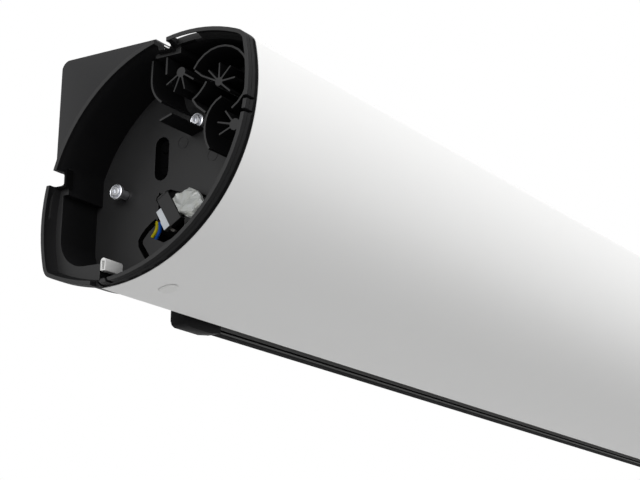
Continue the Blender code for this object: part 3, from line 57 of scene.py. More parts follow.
LENS = 93.66
SENSOR_WIDTH = 36.0
NEAREST_SEEN = 0.01
CAMERA_PLACE = Matrix((
    (0.5474, -0.2305, -0.8045, -1.5650),
    (-0.8367, -0.1295, -0.5322, -0.6340),
    (0.0185, 0.9644, -0.2637, -0.3563),
    (0.0, 0.0, 0.0, 1.0),
))

camera_data = bpy.data.cameras.new("camera")
camera_data.lens = LENS
camera_data.sensor_width = SENSOR_WIDTH
camera_data.clip_start = NEAREST_SEEN
camera = bpy.data.objects.new("camera", camera_data)
bpy.context.scene.collection.objects.link(camera)
camera.matrix_world = CAMERA_PLACE
bpy.context.scene.camera = camera
bpy.context.scene.view_settings.view_transform = "Standard"


# Studio: a white room, at full strength where it is seen, mirrored or seen through, and weak where it lights
# the object. A pale floor lies far below, and soft lamps stand above the case, before its end and under it.

HEMISPHERE = 0.32
FLOOR_HEIGHT = -1.75
FLOOR_SIZE = 9.0
FLOOR_COLOUR = (0.78, 0.78, 0.78, 1.0)
FLOOR_ROUGHNESS = 0.9

world = bpy.data.worlds.new("studio")
bpy.context.scene.world = world
world.use_nodes = True
world_nodes = world.node_tree.nodes
world_links = world.node_tree.links
world_nodes.clear()
seen = world_nodes.new("ShaderNodeLightPath")
seen_or_mirrored = world_nodes.new("ShaderNodeMath")
seen_or_mirrored.operation = "MAXIMUM"
through = world_nodes.new("ShaderNodeMath")
through.operation = "MAXIMUM"
strength = world_nodes.new("ShaderNodeMapRange")
strength.inputs["To Min"].default_value = HEMISPHERE
strength.inputs["To Max"].default_value = 1.0
background = world_nodes.new("ShaderNodeBackground")
background.inputs["Color"].default_value = (1.0, 1.0, 1.0, 1.0)
world_out = world_nodes.new("ShaderNodeOutputWorld")
world_links.new(seen.outputs["Is Camera Ray"], seen_or_mirrored.inputs[0])
world_links.new(seen.outputs["Is Glossy Ray"], seen_or_mirrored.inputs[1])
world_links.new(seen_or_mirrored.outputs["Value"], through.inputs[0])
world_links.new(seen.outputs["Is Transmission Ray"], through.inputs[1])
world_links.new(through.outputs["Value"], strength.inputs["Value"])
world_links.new(strength.outputs["Result"], background.inputs["Strength"])
world_links.new(background.outputs["Background"], world_out.inputs["Surface"])


def soft_lamp(name, place, target, size, power):
    """A square area lamp that points at a target."""
    data = bpy.data.lights.new(name, "AREA")
    data.shape = "SQUARE"
    data.size = size
    data.energy = power
    lamp = bpy.data.objects.new(name, data)
    bpy.context.scene.collection.objects.link(lamp)
    lamp.location = place
    lamp.rotation_euler = (Vector(target) - Vector(place)).to_track_quat("-Z", "Y").to_euler()


soft_lamp("lamp_above", place=(-0.6, -1.9, 1.8), target=(-0.5, -0.07, -0.07), size=1.6, power=58.0)
soft_lamp("lamp_end", place=(-2.9, -0.75, 0.5), target=(-0.9, -0.07, -0.07), size=0.7, power=18.5)
soft_lamp("lamp_below", place=(-0.4, -0.85, -1.45), target=(-0.5, -0.10, -0.12), size=0.9, power=3.5)

bpy.ops.object.select_all(action="DESELECT")
bpy.ops.mesh.primitive_plane_add(size=FLOOR_SIZE, location=(0.0, 0.0, FLOOR_HEIGHT))
studio_floor = bpy.context.object
studio_floor.name = "studio_floor"
floor_finish = bpy.data.materials.new("pale_floor")
floor_finish.use_nodes = True
floor_finish.node_tree.nodes["Principled BSDF"].inputs["Base Color"].default_value = FLOOR_COLOUR
floor_finish.node_tree.nodes["Principled BSDF"].inputs["Roughness"].default_value = FLOOR_ROUGHNESS
studio_floor.data.materials.append(floor_finish)


# Case: one aluminium extrusion of leaf-shaped section, powder coated white. Two T tracks along its crown and
# its back take the bracket hooks. It is sawn square, and its ends slip over the plugs of the end housings.
# An arc is its (y, z) centre and its radius, and a depth is measured from the rim plane of an end.

HALF = 0.898
ENDS = {"left": -1, "right": 1}
COLLAR_DEPTH = 0.0094
CASE_WALL = 0.0022
FRONT_ARC = ((-0.04345, -0.04100), 0.1020)
TOP_ARC = ((-0.10355, -0.09641), 0.0903)
CROWN_ARC = ((-0.10450, -0.10290), 0.0989)
BACK_ARC = ((-0.10892, -0.10274), 0.1050)
FRONT_SPAN = (270.0, 167.3)
TOP_START = 111.0
FRONT_STEPS = 60
TOP_STEPS = 20
CROWN_STEPS = 40
BACK_STEPS = 24
TRACK_MOUTH = 0.0085
TRACK_WIDTH = 0.0128
TRACK_LIP = 0.0018
TRACK_DEPTH = 0.0052
TRACK_WALL = 0.0012
TOP_TRACK_Y = -0.0840
BACK_TRACK_Z = -0.0765
BACK_LIP_Z = -0.1280
BACK_FLANGE_REACH = 0.0105
BACK_FLANGE_WALL = 0.0020
FRONT_LIP_START_Z = -0.1300
FRONT_LIP_Y = (-0.0453, -0.0435)
FRONT_LIP_TOP_Z = -0.1365
FRONT_LIP_CUT = (-0.0460, -0.1405, -0.0430, -0.1355)
FRONT_LIP_CUT_DEPTHS = (0.0080, 0.0402)
SECTION_MIDDLE = (-0.070, -0.075)
START_RADIUS = 0.05
HAIR = 0.0001
FACING = 0.5
SQUARE_ON = 0.9


def arc_points(arc, inset, start, end, steps):
    """Points along an arc moved inwards, angles in degrees from +Y towards +Z."""
    (y, z), radius = arc
    turn = [radians(start + (end - start) * i / steps) for i in range(steps + 1)]
    return [(y + (radius - inset) * cos(a), z + (radius - inset) * sin(a)) for a in turn]


def soft_corner(before, start, end, after, steps=8):
    """Points of a rounded corner between two runs."""
    d1 = Vector(start) - Vector(before)
    d2 = Vector(end) - Vector(after)
    gap = Vector(end) - Vector(start)
    tip = Vector(start) + d1 * ((gap.x * d2.y - gap.y * d2.x) / (d1.x * d2.y - d1.y * d2.x))
    points = []
    for i in range(1, steps):
        t = i / steps
        points.append(tuple(Vector(start) * (1 - t) ** 2 + tip * 2 * t * (1 - t) + Vector(end) * t ** 2))
    return points


def angle_at_y(arc, inset, y):
    return degrees(acos((y - arc[0][0]) / (arc[1] - inset)))


def angle_at_z(arc, inset, z):
    return degrees(asin((z - arc[0][1]) / (arc[1] - inset)))


def front_and_top(inset, end_y):
    """The skin from the front lip up over the front and back along the top, to end_y."""
    front = arc_points(FRONT_ARC, inset, *FRONT_SPAN, FRONT_STEPS)
    top = arc_points(TOP_ARC, inset, TOP_START, angle_at_y(TOP_ARC, inset, end_y), TOP_STEPS)
    return front + soft_corner(front[-2], front[-1], top[0], top[1]) + top


def crown(inset, start_y, end_z):
    """The skin of the crown, between the top track and the back track."""
    start = angle_at_y(CROWN_ARC, inset, start_y)
    return arc_points(CROWN_ARC, inset, start, angle_at_z(CROWN_ARC, inset, end_z), CROWN_STEPS)


def back(inset, start_z, end_z):
    """The skin of the back, below the back track."""
    start = angle_at_z(BACK_ARC, inset, start_z)
    return arc_points(BACK_ARC, inset, start, angle_at_z(BACK_ARC, inset, end_z), BACK_STEPS)


def case_outline():
    """The extrusion's closed section: the skin with both tracks outside, and the walls' inner side."""
    half_mouth = TRACK_MOUTH / 2
    half_track = TRACK_WIDTH / 2
    half_block = half_track + TRACK_WALL
    top_z = CROWN_ARC[0][1] + sqrt(CROWN_ARC[1] ** 2 - (TOP_TRACK_Y - CROWN_ARC[0][0]) ** 2)
    back_y = CROWN_ARC[0][0] + sqrt(CROWN_ARC[1] ** 2 - (BACK_TRACK_Z - CROWN_ARC[0][1]) ** 2)
    y, z = TOP_TRACK_Y, BACK_TRACK_Z
    outer = front_and_top(0.0, y - half_mouth)
    outer += [(y - half_mouth, top_z - TRACK_LIP), (y - half_track, top_z - TRACK_LIP),
              (y - half_track, top_z - TRACK_DEPTH), (y + half_track, top_z - TRACK_DEPTH),
              (y + half_track, top_z - TRACK_LIP), (y + half_mouth, top_z - TRACK_LIP)]
    outer += crown(0.0, y + half_mouth, z + half_mouth)
    outer += [(back_y - TRACK_LIP, z + half_mouth), (back_y - TRACK_LIP, z + half_track),
              (back_y - TRACK_DEPTH, z + half_track), (back_y - TRACK_DEPTH, z - half_track),
              (back_y - TRACK_LIP, z - half_track), (back_y - TRACK_LIP, z - half_mouth)]
    outer += back(0.0, z - half_mouth, BACK_LIP_Z)
    flange_tip = outer[-1][0] - BACK_FLANGE_REACH
    flange_top = BACK_LIP_Z + BACK_FLANGE_WALL
    inner = [(flange_tip, BACK_LIP_Z), (flange_tip, flange_top)]
    inner += back(CASE_WALL, z - half_block, flange_top)[::-1]
    block_y = back_y - TRACK_DEPTH - TRACK_WALL
    inner += [(block_y, z - half_block), (block_y, z + half_block)]
    inner += crown(CASE_WALL, y + half_block, z + half_block)[::-1]
    block_z = top_z - TRACK_DEPTH - TRACK_WALL
    inner += [(y + half_block, block_z), (y - half_block, block_z)]
    front = front_and_top(CASE_WALL, y - half_block)[::-1]
    inner += [p for p in front if p[1] > FRONT_LIP_START_Z or p[0] < FRONT_LIP_Y[0]]
    inner += [(lip_y, FRONT_LIP_TOP_Z) for lip_y in FRONT_LIP_Y]
    return outer + inner


def box_outline(y0, z0, y1, z1):
    return [(y0, z0), (y1, z0), (y1, z1), (y0, z1)]


def start_outline(points, x, name):
    """A filled outline in the plane across X: a circle primitive whose vertices are set on the points."""
    bpy.ops.object.select_all(action="DESELECT")
    bpy.ops.mesh.primitive_circle_add(vertices=len(points), radius=START_RADIUS)
    piece = bpy.context.object
    piece.name = name
    for vertex, (y, z) in zip(piece.data.vertices, points):
        vertex.co = (x, y, z)
    bpy.ops.object.mode_set(mode="EDIT")
    bpy.ops.mesh.select_all(action="SELECT")
    bpy.ops.mesh.edge_face_add()
    return piece


def extrude_along(length):
    """Extrudes the selected outline along X and closes edit mode."""
    bpy.ops.mesh.extrude_region_move(TRANSFORM_OT_translate={"value": (length, 0.0, 0.0)})
    bpy.ops.mesh.select_all(action="SELECT")
    bpy.ops.mesh.normals_make_consistent(inside=False)
    bpy.ops.object.mode_set(mode="OBJECT")


def prism(name, outline, x0, x1):
    """A closed prism of a (y, z) outline between two places along X."""
    piece = start_outline(outline, x0, name)
    extrude_along(x1 - x0)
    return piece


def station(side, depth):
    """X of a depth behind the rim plane of the left (-1) or right (1) end."""
    return side * (HALF - depth)


def end_prism(name, outline, side, near, far):
    """A closed prism of a (y, z) outline between two depths of one end."""
    return prism(name, outline, station(side, near), station(side, far))


def make_active(piece):
    bpy.ops.object.select_all(action="DESELECT")
    piece.select_set(True)
    bpy.context.view_layer.objects.active = piece


def cut_away(piece, cutter, operation="DIFFERENCE"):
    """Cuts a helper shape out of a piece, or joins it on, and removes the helper."""
    change = piece.modifiers.new("cut", "BOOLEAN")
    change.operation = operation
    change.solver = "EXACT"
    change.object = cutter
    make_active(piece)
    bpy.ops.object.modifier_apply(modifier=change.name)
    bpy.data.objects.remove(cutter)


def keep_flat_faces_flat(piece):
    """Gives large faces more say in smoothed normals, so that a soft edge doesn't tint the face beside it."""
    change = piece.modifiers.new("weights", "WEIGHTED_NORMAL")
    change.keep_sharp = True
    make_active(piece)
    bpy.ops.object.modifier_apply(modifier=change.name)


def from_middle(place):
    """From the middle of the case's section to a place, across X."""
    return Vector((0.0, place.y - SECTION_MIDDLE[0], place.z - SECTION_MIDDLE[1]))


def on_track_block(face):
    """Whether a face is a side of one of the two blocks inside that hold the T tracks."""
    half_block = TRACK_WIDTH / 2 + TRACK_WALL
    beside_top = abs(abs(face.center.y - TOP_TRACK_Y) - half_block) < HAIR
    beside_back = abs(abs(face.center.z - BACK_TRACK_Z) - half_block) < HAIR
    return beside_top and abs(face.normal.y) > SQUARE_ON or beside_back and abs(face.normal.z) > SQUARE_ON


def fine_skin_group():
    """Shader group: a fine moulded or sprayed skin. Height for a Bump node and a mask for the roughness."""
    group = bpy.data.node_groups.new("fine_skin", "ShaderNodeTree")
    group.interface.new_socket("Grain", in_out="INPUT", socket_type="NodeSocketFloat")
    group.interface.new_socket("Patches", in_out="INPUT", socket_type="NodeSocketFloat")
    group.interface.new_socket("Height", in_out="OUTPUT", socket_type="NodeSocketFloat")
    group.interface.new_socket("Mask", in_out="OUTPUT", socket_type="NodeSocketFloat")
    nodes, links = group.nodes, group.links
    entry = nodes.new("NodeGroupInput")
    leave = nodes.new("NodeGroupOutput")
    place = nodes.new("ShaderNodeTexCoord")
    grain = nodes.new("ShaderNodeTexNoise")
    grain.inputs["Detail"].default_value = 2.0
    patches = nodes.new("ShaderNodeTexNoise")
    patches.inputs["Detail"].default_value = 3.0
    links.new(place.outputs["Object"], grain.inputs["Vector"])
    links.new(place.outputs["Object"], patches.inputs["Vector"])
    links.new(entry.outputs["Grain"], grain.inputs["Scale"])
    links.new(entry.outputs["Patches"], patches.inputs["Scale"])
    links.new(grain.outputs["Fac"], leave.inputs["Height"])
    links.new(patches.outputs["Fac"], leave.inputs["Mask"])
    return group


fine_skin = fine_skin_group()
GRAINS_PER_PATCH = 40
SKIN_RELIEF = 0.0002


def skin_material(name, colour, shade, rough, grain, bump, metallic=0.0, specular=0.5):
    """A sprayed, plated or moulded finish. Colour and shade are its two tones, rough its roughness range."""
    material = bpy.data.materials.new(name)
    material.use_nodes = True
    nodes, links = material.node_tree.nodes, material.node_tree.links
    shader = nodes["Principled BSDF"]
    shader.inputs["Metallic"].default_value = metallic
    shader.inputs["Specular IOR Level"].default_value = specular
    skin = nodes.new("ShaderNodeGroup")
    skin.node_tree = fine_skin
    skin.inputs["Grain"].default_value = grain
    skin.inputs["Patches"].default_value = grain / GRAINS_PER_PATCH
    tone = nodes.new("ShaderNodeMix")
    tone.data_type = "RGBA"
    tone.inputs["A"].default_value = (*colour, 1.0)
    tone.inputs["B"].default_value = (*shade, 1.0)
    gloss = nodes.new("ShaderNodeMapRange")
    gloss.inputs["To Min"].default_value = rough[0]
    gloss.inputs["To Max"].default_value = rough[1]
    relief = nodes.new("ShaderNodeBump")
    relief.inputs["Strength"].default_value = bump
    relief.inputs["Distance"].default_value = SKIN_RELIEF
    links.new(skin.outputs["Mask"], tone.inputs["Factor"])
    links.new(skin.outputs["Mask"], gloss.inputs["Value"])
    links.new(skin.outputs["Height"], relief.inputs["Height"])
    links.new(tone.outputs["Result"], shader.inputs["Base Color"])
    links.new(gloss.outputs["Result"], shader.inputs["Roughness"])
    links.new(relief.outputs["Normal"], shader.inputs["Normal"])
    return material


powder_coat = skin_material("white_powder_coat", (0.80, 0.80, 0.795), (0.79, 0.79, 0.785),
                            rough=(0.42, 0.48), grain=2200, bump=0.12)
# The inside of the extrusion gets a near-black colour: painted shade for the dark inside of the case.
inside_painted_shade = skin_material("case_inside_painted_shade", (0.012, 0.012, 0.012), (0.016, 0.016, 0.016),
                            rough=(0.55, 0.65), grain=1200, bump=0.1, specular=0.1)
case_shell = prism("case_shell", case_outline(), -HALF + COLLAR_DEPTH, HALF - COLLAR_DEPTH)
for side in ENDS.values():
    cut_away(case_shell, end_prism("lip_end", box_outline(*FRONT_LIP_CUT), side, *FRONT_LIP_CUT_DEPTHS))
make_active(case_shell)
bpy.ops.object.shade_smooth_by_angle(angle=radians(20))
keep_flat_faces_flat(case_shell)
case_shell.data.materials.append(powder_coat)
case_shell.data.materials.append(inside_painted_shade)
# Faces along the case that face inwards, the sides of the track blocks among them, get the painted shade.
for face in case_shell.data.polygons:
    runs_along_case = abs(face.normal.x) < FACING
    faces_inwards = face.normal.dot(from_middle(face.center)) < 0.0 or on_track_block(face)
    if runs_along_case and faces_inwards:
        face.material_index = 1
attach(case_shell, "case")
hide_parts("case_extrusion")


# End housings: two black mouldings. Each has a rim flush with the case, a ledge, a plug that fits inside the
# extrusion, and a chamber with cable ribs, screw seats, a slot for the limit buttons and a tongue over the
# connectors. Their sharp outer edges are softened a little, as a mould leaves them.

LEDGE_DEPTH = 0.0079
RIB_TOP_DEPTH = 0.0085
TONGUE_FACE_DEPTH = 0.0297
FLOOR_DEPTH = 0.0377
FOOT_ARC = ((-0.05512, -0.03111), 0.11249)
FOOT_SPAN = (-67.2, -84.1)
FOOT_STEPS = 10
WELD_DISTANCE = 0.000002
FLAT_WITHIN = radians(0.5)
SHARP_FROM = radians(30)
RIM_SOFTNESS = 0.00028
RIB_SOFTNESS = 0.00016
FLOOR_SOFTNESS = 0.00020
OVERSHOOT = 0.001
OVER_SKIN = 0.002
BAND_START = 0.0063
BAND_WALL = 0.0035
BAND_OPENING_START = 0.0055
BAND_OPENINGS = ((-0.08825, -0.01228, -0.07975, 0.002), (-0.01336, -0.08075, 0.002, -0.07225))
SHELL_GAP = (0.0074, 0.0094, 0.0003)
FINE_GROOVE = (0.0031, 0.0035, 0.0002)
SNAP_CUT_Y = (-0.1600, -0.1397)
SNAP_CUT_Z = (-0.0524, -0.0597)
HALF_SNAP_CUT = 0.00095
WINDOW_OUTLINE = ((-0.1085, -0.0170), (-0.0915, -0.0130), (-0.0915, 0.002), (-0.1085, 0.002))
WINDOW_DEPTHS = (0.0007, 0.0061)
SLIT = ((-0.0571, -0.0992), (-0.0537, -0.1012), (-0.0502, -0.1038), (-0.0472, -0.1070), (-0.0456, -0.1094),
        (-0.0460, -0.1122), (-0.0473, -0.1142), (-0.0492, -0.1170), (-0.0511, -0.1198))
SLIT_WIDTH = 0.0034
SLIT_DEPTHS = (0.0357, 0.0417)
CABLE_OPENING = ((-0.0575, -0.0895), (-0.0557, -0.0867), (-0.0562, -0.0848), (-0.0587, -0.0835),
                 (-0.0640, -0.0828), (-0.0689, -0.0843), (-0.0867, -0.0870), (-0.0920, -0.0897),
                 (-0.0904, -0.0929), (-0.0827, -0.1016), (-0.0707, -0.1084), (-0.0609, -0.1122),
                 (-0.0599, -0.1050), (-0.0640, -0.0990), (-0.0620, -0.0930))
CABLE_OPENING_DEPTHS = (0.0371, 0.0407)

# The tongue's outlines are (along it towards its root end, across it towards the back).
CLIP_CENTRE = (-0.0716, -0.0962)
CLIP_ANGLE = radians(58.5)
TONGUE_END = 0.0117
ROOT_CUT = ((TONGUE_END, 0.012), (TONGUE_END, -0.012), (0.040, -0.012), (0.040, 0.012))
ROOT_CUT_DEPTHS = (0.0280, 0.03768)
TONGUE_TIP = ((0.0040, 0.0043), (TONGUE_END - 0.0005, 0.0043), (TONGUE_END, 0.0036), (TONGUE_END, -0.0013),
              (0.0096, -0.0036), (0.0040, -0.0036))
TONGUE_TIP_DEPTHS = (0.0309, 0.0327)
TONGUE_STEM = ((0.0080, 0.0030), (0.0105, 0.0030), (0.0105, -0.0010), (0.0080, -0.0010))
TONGUE_STEM_DEPTHS = (0.0314, 0.0415)

# Each cut of the foot is its centre line, its width and its two depths.
FOOT_CUTS = (
    (((-0.0490, -0.1378), (-0.0531, -0.1391), (-0.0548, -0.1420), (-0.0592, -0.1437)),
     0.0014, -0.001, 0.0044),
    (((-0.0462, -0.1400), (-0.0488, -0.1424), (-0.0518, -0.1441)),
     0.0014, -0.001, 0.0044),
    (((-0.0428, -0.1382), (-0.0444, -0.1406), (-0.0465, -0.1422), (-0.0487, -0.1430), (-0.0529, -0.1429)),
     0.0011, 0.0045, 0.0070),
)
EJECTOR_MARKS = ((-0.0737, -0.0554), (-0.0950, -0.0663))
MARK_RADIUS = 0.0036
MARK_INNER_SHARE = 0.9
MARK_DEPTH = 0.0002
MARK_STEPS = 32

# A face's painted shade goes by how far it is turned: towards X, out of the case, and towards the open end's
# light.
WALL_TURN = 0.3
OUTWARD_TURN = 0.02
OPEN_SIDE = (0.9, 0.45)
OPEN_TURN = 0.3


def detailed_copy(node, name):
    """A copy of a CAD piece, its doubled points merged and its flat faces joined, ready to be refined."""
    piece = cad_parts[node].copy()
    piece.data = piece.data.copy()
    piece.name = name
    piece.parent = None
    piece.matrix_world = Matrix.Identity(4)
    bpy.context.scene.collection.objects.link(piece)
    piece.data.materials.clear()
    make_active(piece)
    bpy.ops.mesh.customdata_custom_splitnormals_clear()
    bpy.ops.object.mode_set(mode="EDIT")
    bpy.ops.mesh.select_all(action="SELECT")
    bpy.ops.mesh.remove_doubles(threshold=WELD_DISTANCE)
    bpy.ops.mesh.dissolve_limited(angle_limit=FLAT_WITHIN)
    bpy.ops.mesh.normals_make_consistent(inside=False)
    bpy.ops.object.mode_set(mode="OBJECT")
    return piece


def soften(piece, width, wanted=None, shortest=0.0008, steps=2):
    """Rounds the sharp outward edges of a piece, or those of them that wanted(end, end) picks."""
    make_active(piece)
    bpy.ops.object.mode_set(mode="EDIT")
    bpy.ops.mesh.select_mode(type="EDGE")
    bpy.ops.mesh.select_all(action="DESELECT")
    mesh = bmesh.from_edit_mesh(piece.data)
    for edge in mesh.edges:
        ends = [vertex.co for vertex in edge.verts]
        if len(edge.link_faces) == 2 and edge.is_convex and edge.calc_face_angle() > SHARP_FROM:
            if edge.calc_length() > shortest and (wanted is None or wanted(*ends)):
                edge.select = True
    bmesh.update_edit_mesh(piece.data)
    bpy.ops.mesh.bevel(offset=width, segments=steps, affect="EDGES", clamp_overlap=False)
    bpy.ops.object.mode_set(mode="OBJECT")


def at_depths(side, *depths):
    """Picks the edges that lie in one of these planes across X."""
    def wanted(a, b):
        places = [station(side, depth) for depth in depths]
        return any(abs(a.x - x) < HAIR / 5 and abs(b.x - x) < HAIR / 5 for x in places)
    return wanted


def end_outline(inset):
    """The whole leaf outline of a housing: the case's skin and the foot that closes it below."""
    half = TRACK_MOUTH / 2
    skin = front_and_top(inset, TOP_TRACK_Y - half) + crown(inset, TOP_TRACK_Y + half, BACK_TRACK_Z + half)
    skin += back(inset, BACK_TRACK_Z - half, BACK_LIP_Z)
    foot = arc_points(FOOT_ARC, inset, *FOOT_SPAN, FOOT_STEPS)
    return skin + soft_corner(skin[-2], skin[-1], foot[0], foot[1]) + foot[:-1]


def join_on(piece, addition):
    cut_away(piece, addition, "UNION")


def outer_ring(side, near, far, reach):
    """A helper: the outermost band of the leaf outline between two depths."""
    ring = end_prism("ring", end_outline(-OVER_SKIN), side, near, far)
    cut_away(ring, end_prism("ring_core", end_outline(reach), side, near - OVERSHOOT, far + OVERSHOOT))
    return ring


def ribbon(line, thickness):
    """A closed outline round a centre line, both ends square."""
    sides = ([], [])
    for i, point in enumerate(line):
        along = (Vector(line[min(i + 1, len(line) - 1)]) - Vector(line[max(i - 1, 0)])).normalized()
        for side, sign in zip(sides, (0.5, -0.5)):
            side.append((point[0] - along.y * sign * thickness, point[1] + along.x * sign * thickness))
    return sides[0] + sides[1][::-1]


def round_mark(side, centre):
    """A helper: the fine circular line that an ejector pin leaves in the chamber floor."""
    outer = arc_points((centre, MARK_RADIUS), 0.0, 0.0, 360.0, MARK_STEPS)[:-1]
    inner = arc_points((centre, MARK_RADIUS * MARK_INNER_SHARE), 0.0, 0.0, 360.0, MARK_STEPS)[:-1]
    mark = end_prism("mark", outer, side, FLOOR_DEPTH - OVERSHOOT, FLOOR_DEPTH + MARK_DEPTH)
    core = end_prism("mark_core", inner, side, FLOOR_DEPTH - 2 * OVERSHOOT, FLOOR_DEPTH + OVERSHOOT)
    cut_away(mark, core)
    return mark


def clip_point(along, across):
    """The (y, z) of a point beside the tongue."""
    return (CLIP_CENTRE[0] + along * cos(CLIP_ANGLE) + across * sin(CLIP_ANGLE),
            CLIP_CENTRE[1] + along * sin(CLIP_ANGLE) - across * cos(CLIP_ANGLE))


def clip_outline(points):
    return [clip_point(along, across) for along, across in points]


def widen_collar(housing, side):
    """Joins a band on behind the rim, up to the shell's sawn end, and opens both tracks in it."""
    beyond = COLLAR_DEPTH + OVERSHOOT
    band = end_prism("band", end_outline(0.0), side, BAND_START, COLLAR_DEPTH)
    cut_away(band, end_prism("band_core", end_outline(BAND_WALL), side, BAND_START - OVERSHOOT, beyond))
    join_on(housing, band)
    for box in BAND_OPENINGS:
        cut_away(housing, end_prism("band_opening", box_outline(*box), side, BAND_OPENING_START, beyond))


def cut_rim(housing, side):
    """Cuts what the cover snaps into, the lines round the rim and the window in its roof."""
    for z in SNAP_CUT_Z:
        snap = box_outline(SNAP_CUT_Y[0], z - HALF_SNAP_CUT, SNAP_CUT_Y[1], z + HALF_SNAP_CUT)
        cut_away(housing, end_prism("snap_cut", snap, side, -OVERSHOOT, SHELL_GAP[0]))
    for near, far, reach in (SHELL_GAP, FINE_GROOVE):
        cut_away(housing, outer_ring(side, near, far, reach))
    cut_away(housing, end_prism("window", WINDOW_OUTLINE, side, *WINDOW_DEPTHS))


def shape_floor(housing, side):
    """Cuts the slit and the cable opening, and makes the tongue's root end square on a stem."""
    cut_away(housing, end_prism("slit", ribbon(SLIT, SLIT_WIDTH), side, *SLIT_DEPTHS))
    cut_away(housing, end_prism("opening_cut", CABLE_OPENING, side, *CABLE_OPENING_DEPTHS))
    cut_away(housing, end_prism("root_cut", clip_outline(ROOT_CUT), side, *ROOT_CUT_DEPTHS))
    join_on(housing, end_prism("tongue_end", clip_outline(TONGUE_TIP), side, *TONGUE_TIP_DEPTHS))
    join_on(housing, end_prism("tongue_stem", clip_outline(TONGUE_STEM), side, *TONGUE_STEM_DEPTHS))


def painted_shade_index(face, side):
    """Index of a face's colour: 0 in the open, 1 painted deep shade in gaps and openings, 2 painted shade on
    walls.
    """
    depth = HALF - abs(face.center.x)
    on_wall = abs(face.normal.x) < WALL_TURN
    outward = face.normal.dot(from_middle(face.center)) > OUTWARD_TURN
    in_gap = outward and SHELL_GAP[0] + 2 * HAIR < depth < SHELL_GAP[1]
    in_foot_cut = any(abs(depth - cut[-1]) < 2 * HAIR for cut in FOOT_CUTS)
    if on_wall and in_gap or in_foot_cut or depth > FLOOR_DEPTH + 3 * HAIR:
        return 1
    if on_wall or face.normal.dot(Vector((side * OPEN_SIDE[0], OPEN_SIDE[1], 0.0))) < OPEN_TURN:
        return 2
    return 0


black_moulding = skin_material("black_moulding", (0.0100, 0.0100, 0.0105), (0.0130, 0.0130, 0.0135),
                               rough=(0.44, 0.52), grain=3000, bump=0.2, specular=0.42)
# A darker, less glossy copy of the moulding: painted shade on walls and on faces turned from the light, and
# the caps' dull black.
dull_black_and_wall_shade = skin_material("dull_black_and_painted_wall_shade", (0.0060, 0.0060, 0.0065), (0.0080, 0.0080, 0.0085),
                              rough=(0.50, 0.58), grain=3000, bump=0.3, specular=0.10)
# The darkest copy is painted deep shade, in gaps, cuts and openings and on the bar's hidden faces.
deep_painted_shade = skin_material("black_painted_deep_shade", (0.0030, 0.0030, 0.0032), (0.0040, 0.0040, 0.0042),
                              rough=(0.60, 0.70), grain=3000, bump=0.3, specular=0.03)
for end, side in ENDS.items():
    housing = detailed_copy("end_housing_" + end, "housing_" + end)
    widen_collar(housing, side)
    cut_rim(housing, side)
    shape_floor(housing, side)
    for line, width, near, far in FOOT_CUTS:
        cut_away(housing, end_prism("foot_cut", ribbon(line, width), side, near, far))
    for centre in EJECTOR_MARKS:
        cut_away(housing, round_mark(side, centre))
    soften(housing, RIM_SOFTNESS, at_depths(side, 0.0, LEDGE_DEPTH))
    soften(housing, RIB_SOFTNESS, at_depths(side, RIB_TOP_DEPTH, TONGUE_FACE_DEPTH))
    soften(housing, FLOOR_SOFTNESS, at_depths(side, FLOOR_DEPTH))
    make_active(housing)
    bpy.ops.object.shade_smooth_by_angle(angle=radians(28))
    keep_flat_faces_flat(housing)
    for material in (black_moulding, deep_painted_shade, dull_black_and_wall_shade):
        housing.data.materials.append(material)
    # Each face gets the plain moulding or one of its painted shade copies.
    for face in housing.data.polygons:
        face.material_index = painted_shade_index(face, side)
    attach(housing, "case")
    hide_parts("end_housing_" + end)


# Cover catches: light grey plastic sleeves, one pushed on to the foot of each housing, where it takes the
# tongue of the end cover. A block cut off at either end leaves the length that is seen.

CATCH_BLOCK = (-0.050, -0.140, -0.040, -0.120)
CATCH_CUTS = ((0.0050, 0.0079), (0.0226, 0.0270))
CATCH_SOFTNESS = 0.00022

# The catches' plastic is pale grey, coloured near white as painted light, since little light reaches them in
# the chamber.
grey_plastic = skin_material("light_grey_plastic", (0.95, 0.95, 0.94), (0.92, 0.92, 0.91),
                             rough=(0.30, 0.40), grain=1500, bump=0.3)
for end, side in ENDS.items():
    catch = detailed_copy("cover_catch_" + end, "catch_" + end)
    for near, far in CATCH_CUTS:
        cut_away(catch, end_prism("catch_end", box_outline(*CATCH_BLOCK), side, near, far))
    soften(catch, CATCH_SOFTNESS)
    bpy.ops.object.shade_smooth_by_angle(angle=radians(30))
    catch.data.materials.append(grey_plastic)
    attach(catch, "case")
    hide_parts("cover_catch_" + end)


# End cover of the far housing: one black moulding that closes the chamber, with a skirt that snaps inside the
# rim. Its solid has the whole shape, so it stays and gets the housings' finish.

def keep_nodes(names, material):
    """CAD pieces whose shape is right stay as they are and get a finish of this file."""
    for name in names:
        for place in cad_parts[name].material_slots:
            place.material = material


keep_nodes(["end_cover_right"], black_moulding)


# Access plugs: white plastic discs, pressed into the underside of the case beside each end. They close the
# holes through which the drive's screws are reached.

white_plastic = skin_material("white_plastic", (0.78, 0.78, 0.77), (0.74, 0.74, 0.73),
                              rough=(0.32, 0.40), grain=2500, bump=0.1)
keep_nodes(["access_plug_left", "access_plug_right"], white_plastic)


# Brackets: 3 mm sheet steel, cut, folded and painted satin black, with hooks that slide in the two T tracks.
# A zinc plated clamp screw and its nut in the bracket's ear fix it in its place along the case.

BRACKET_SOFTNESS = 0.0003
BRACKET_SHORTEST_EDGE = 0.0025

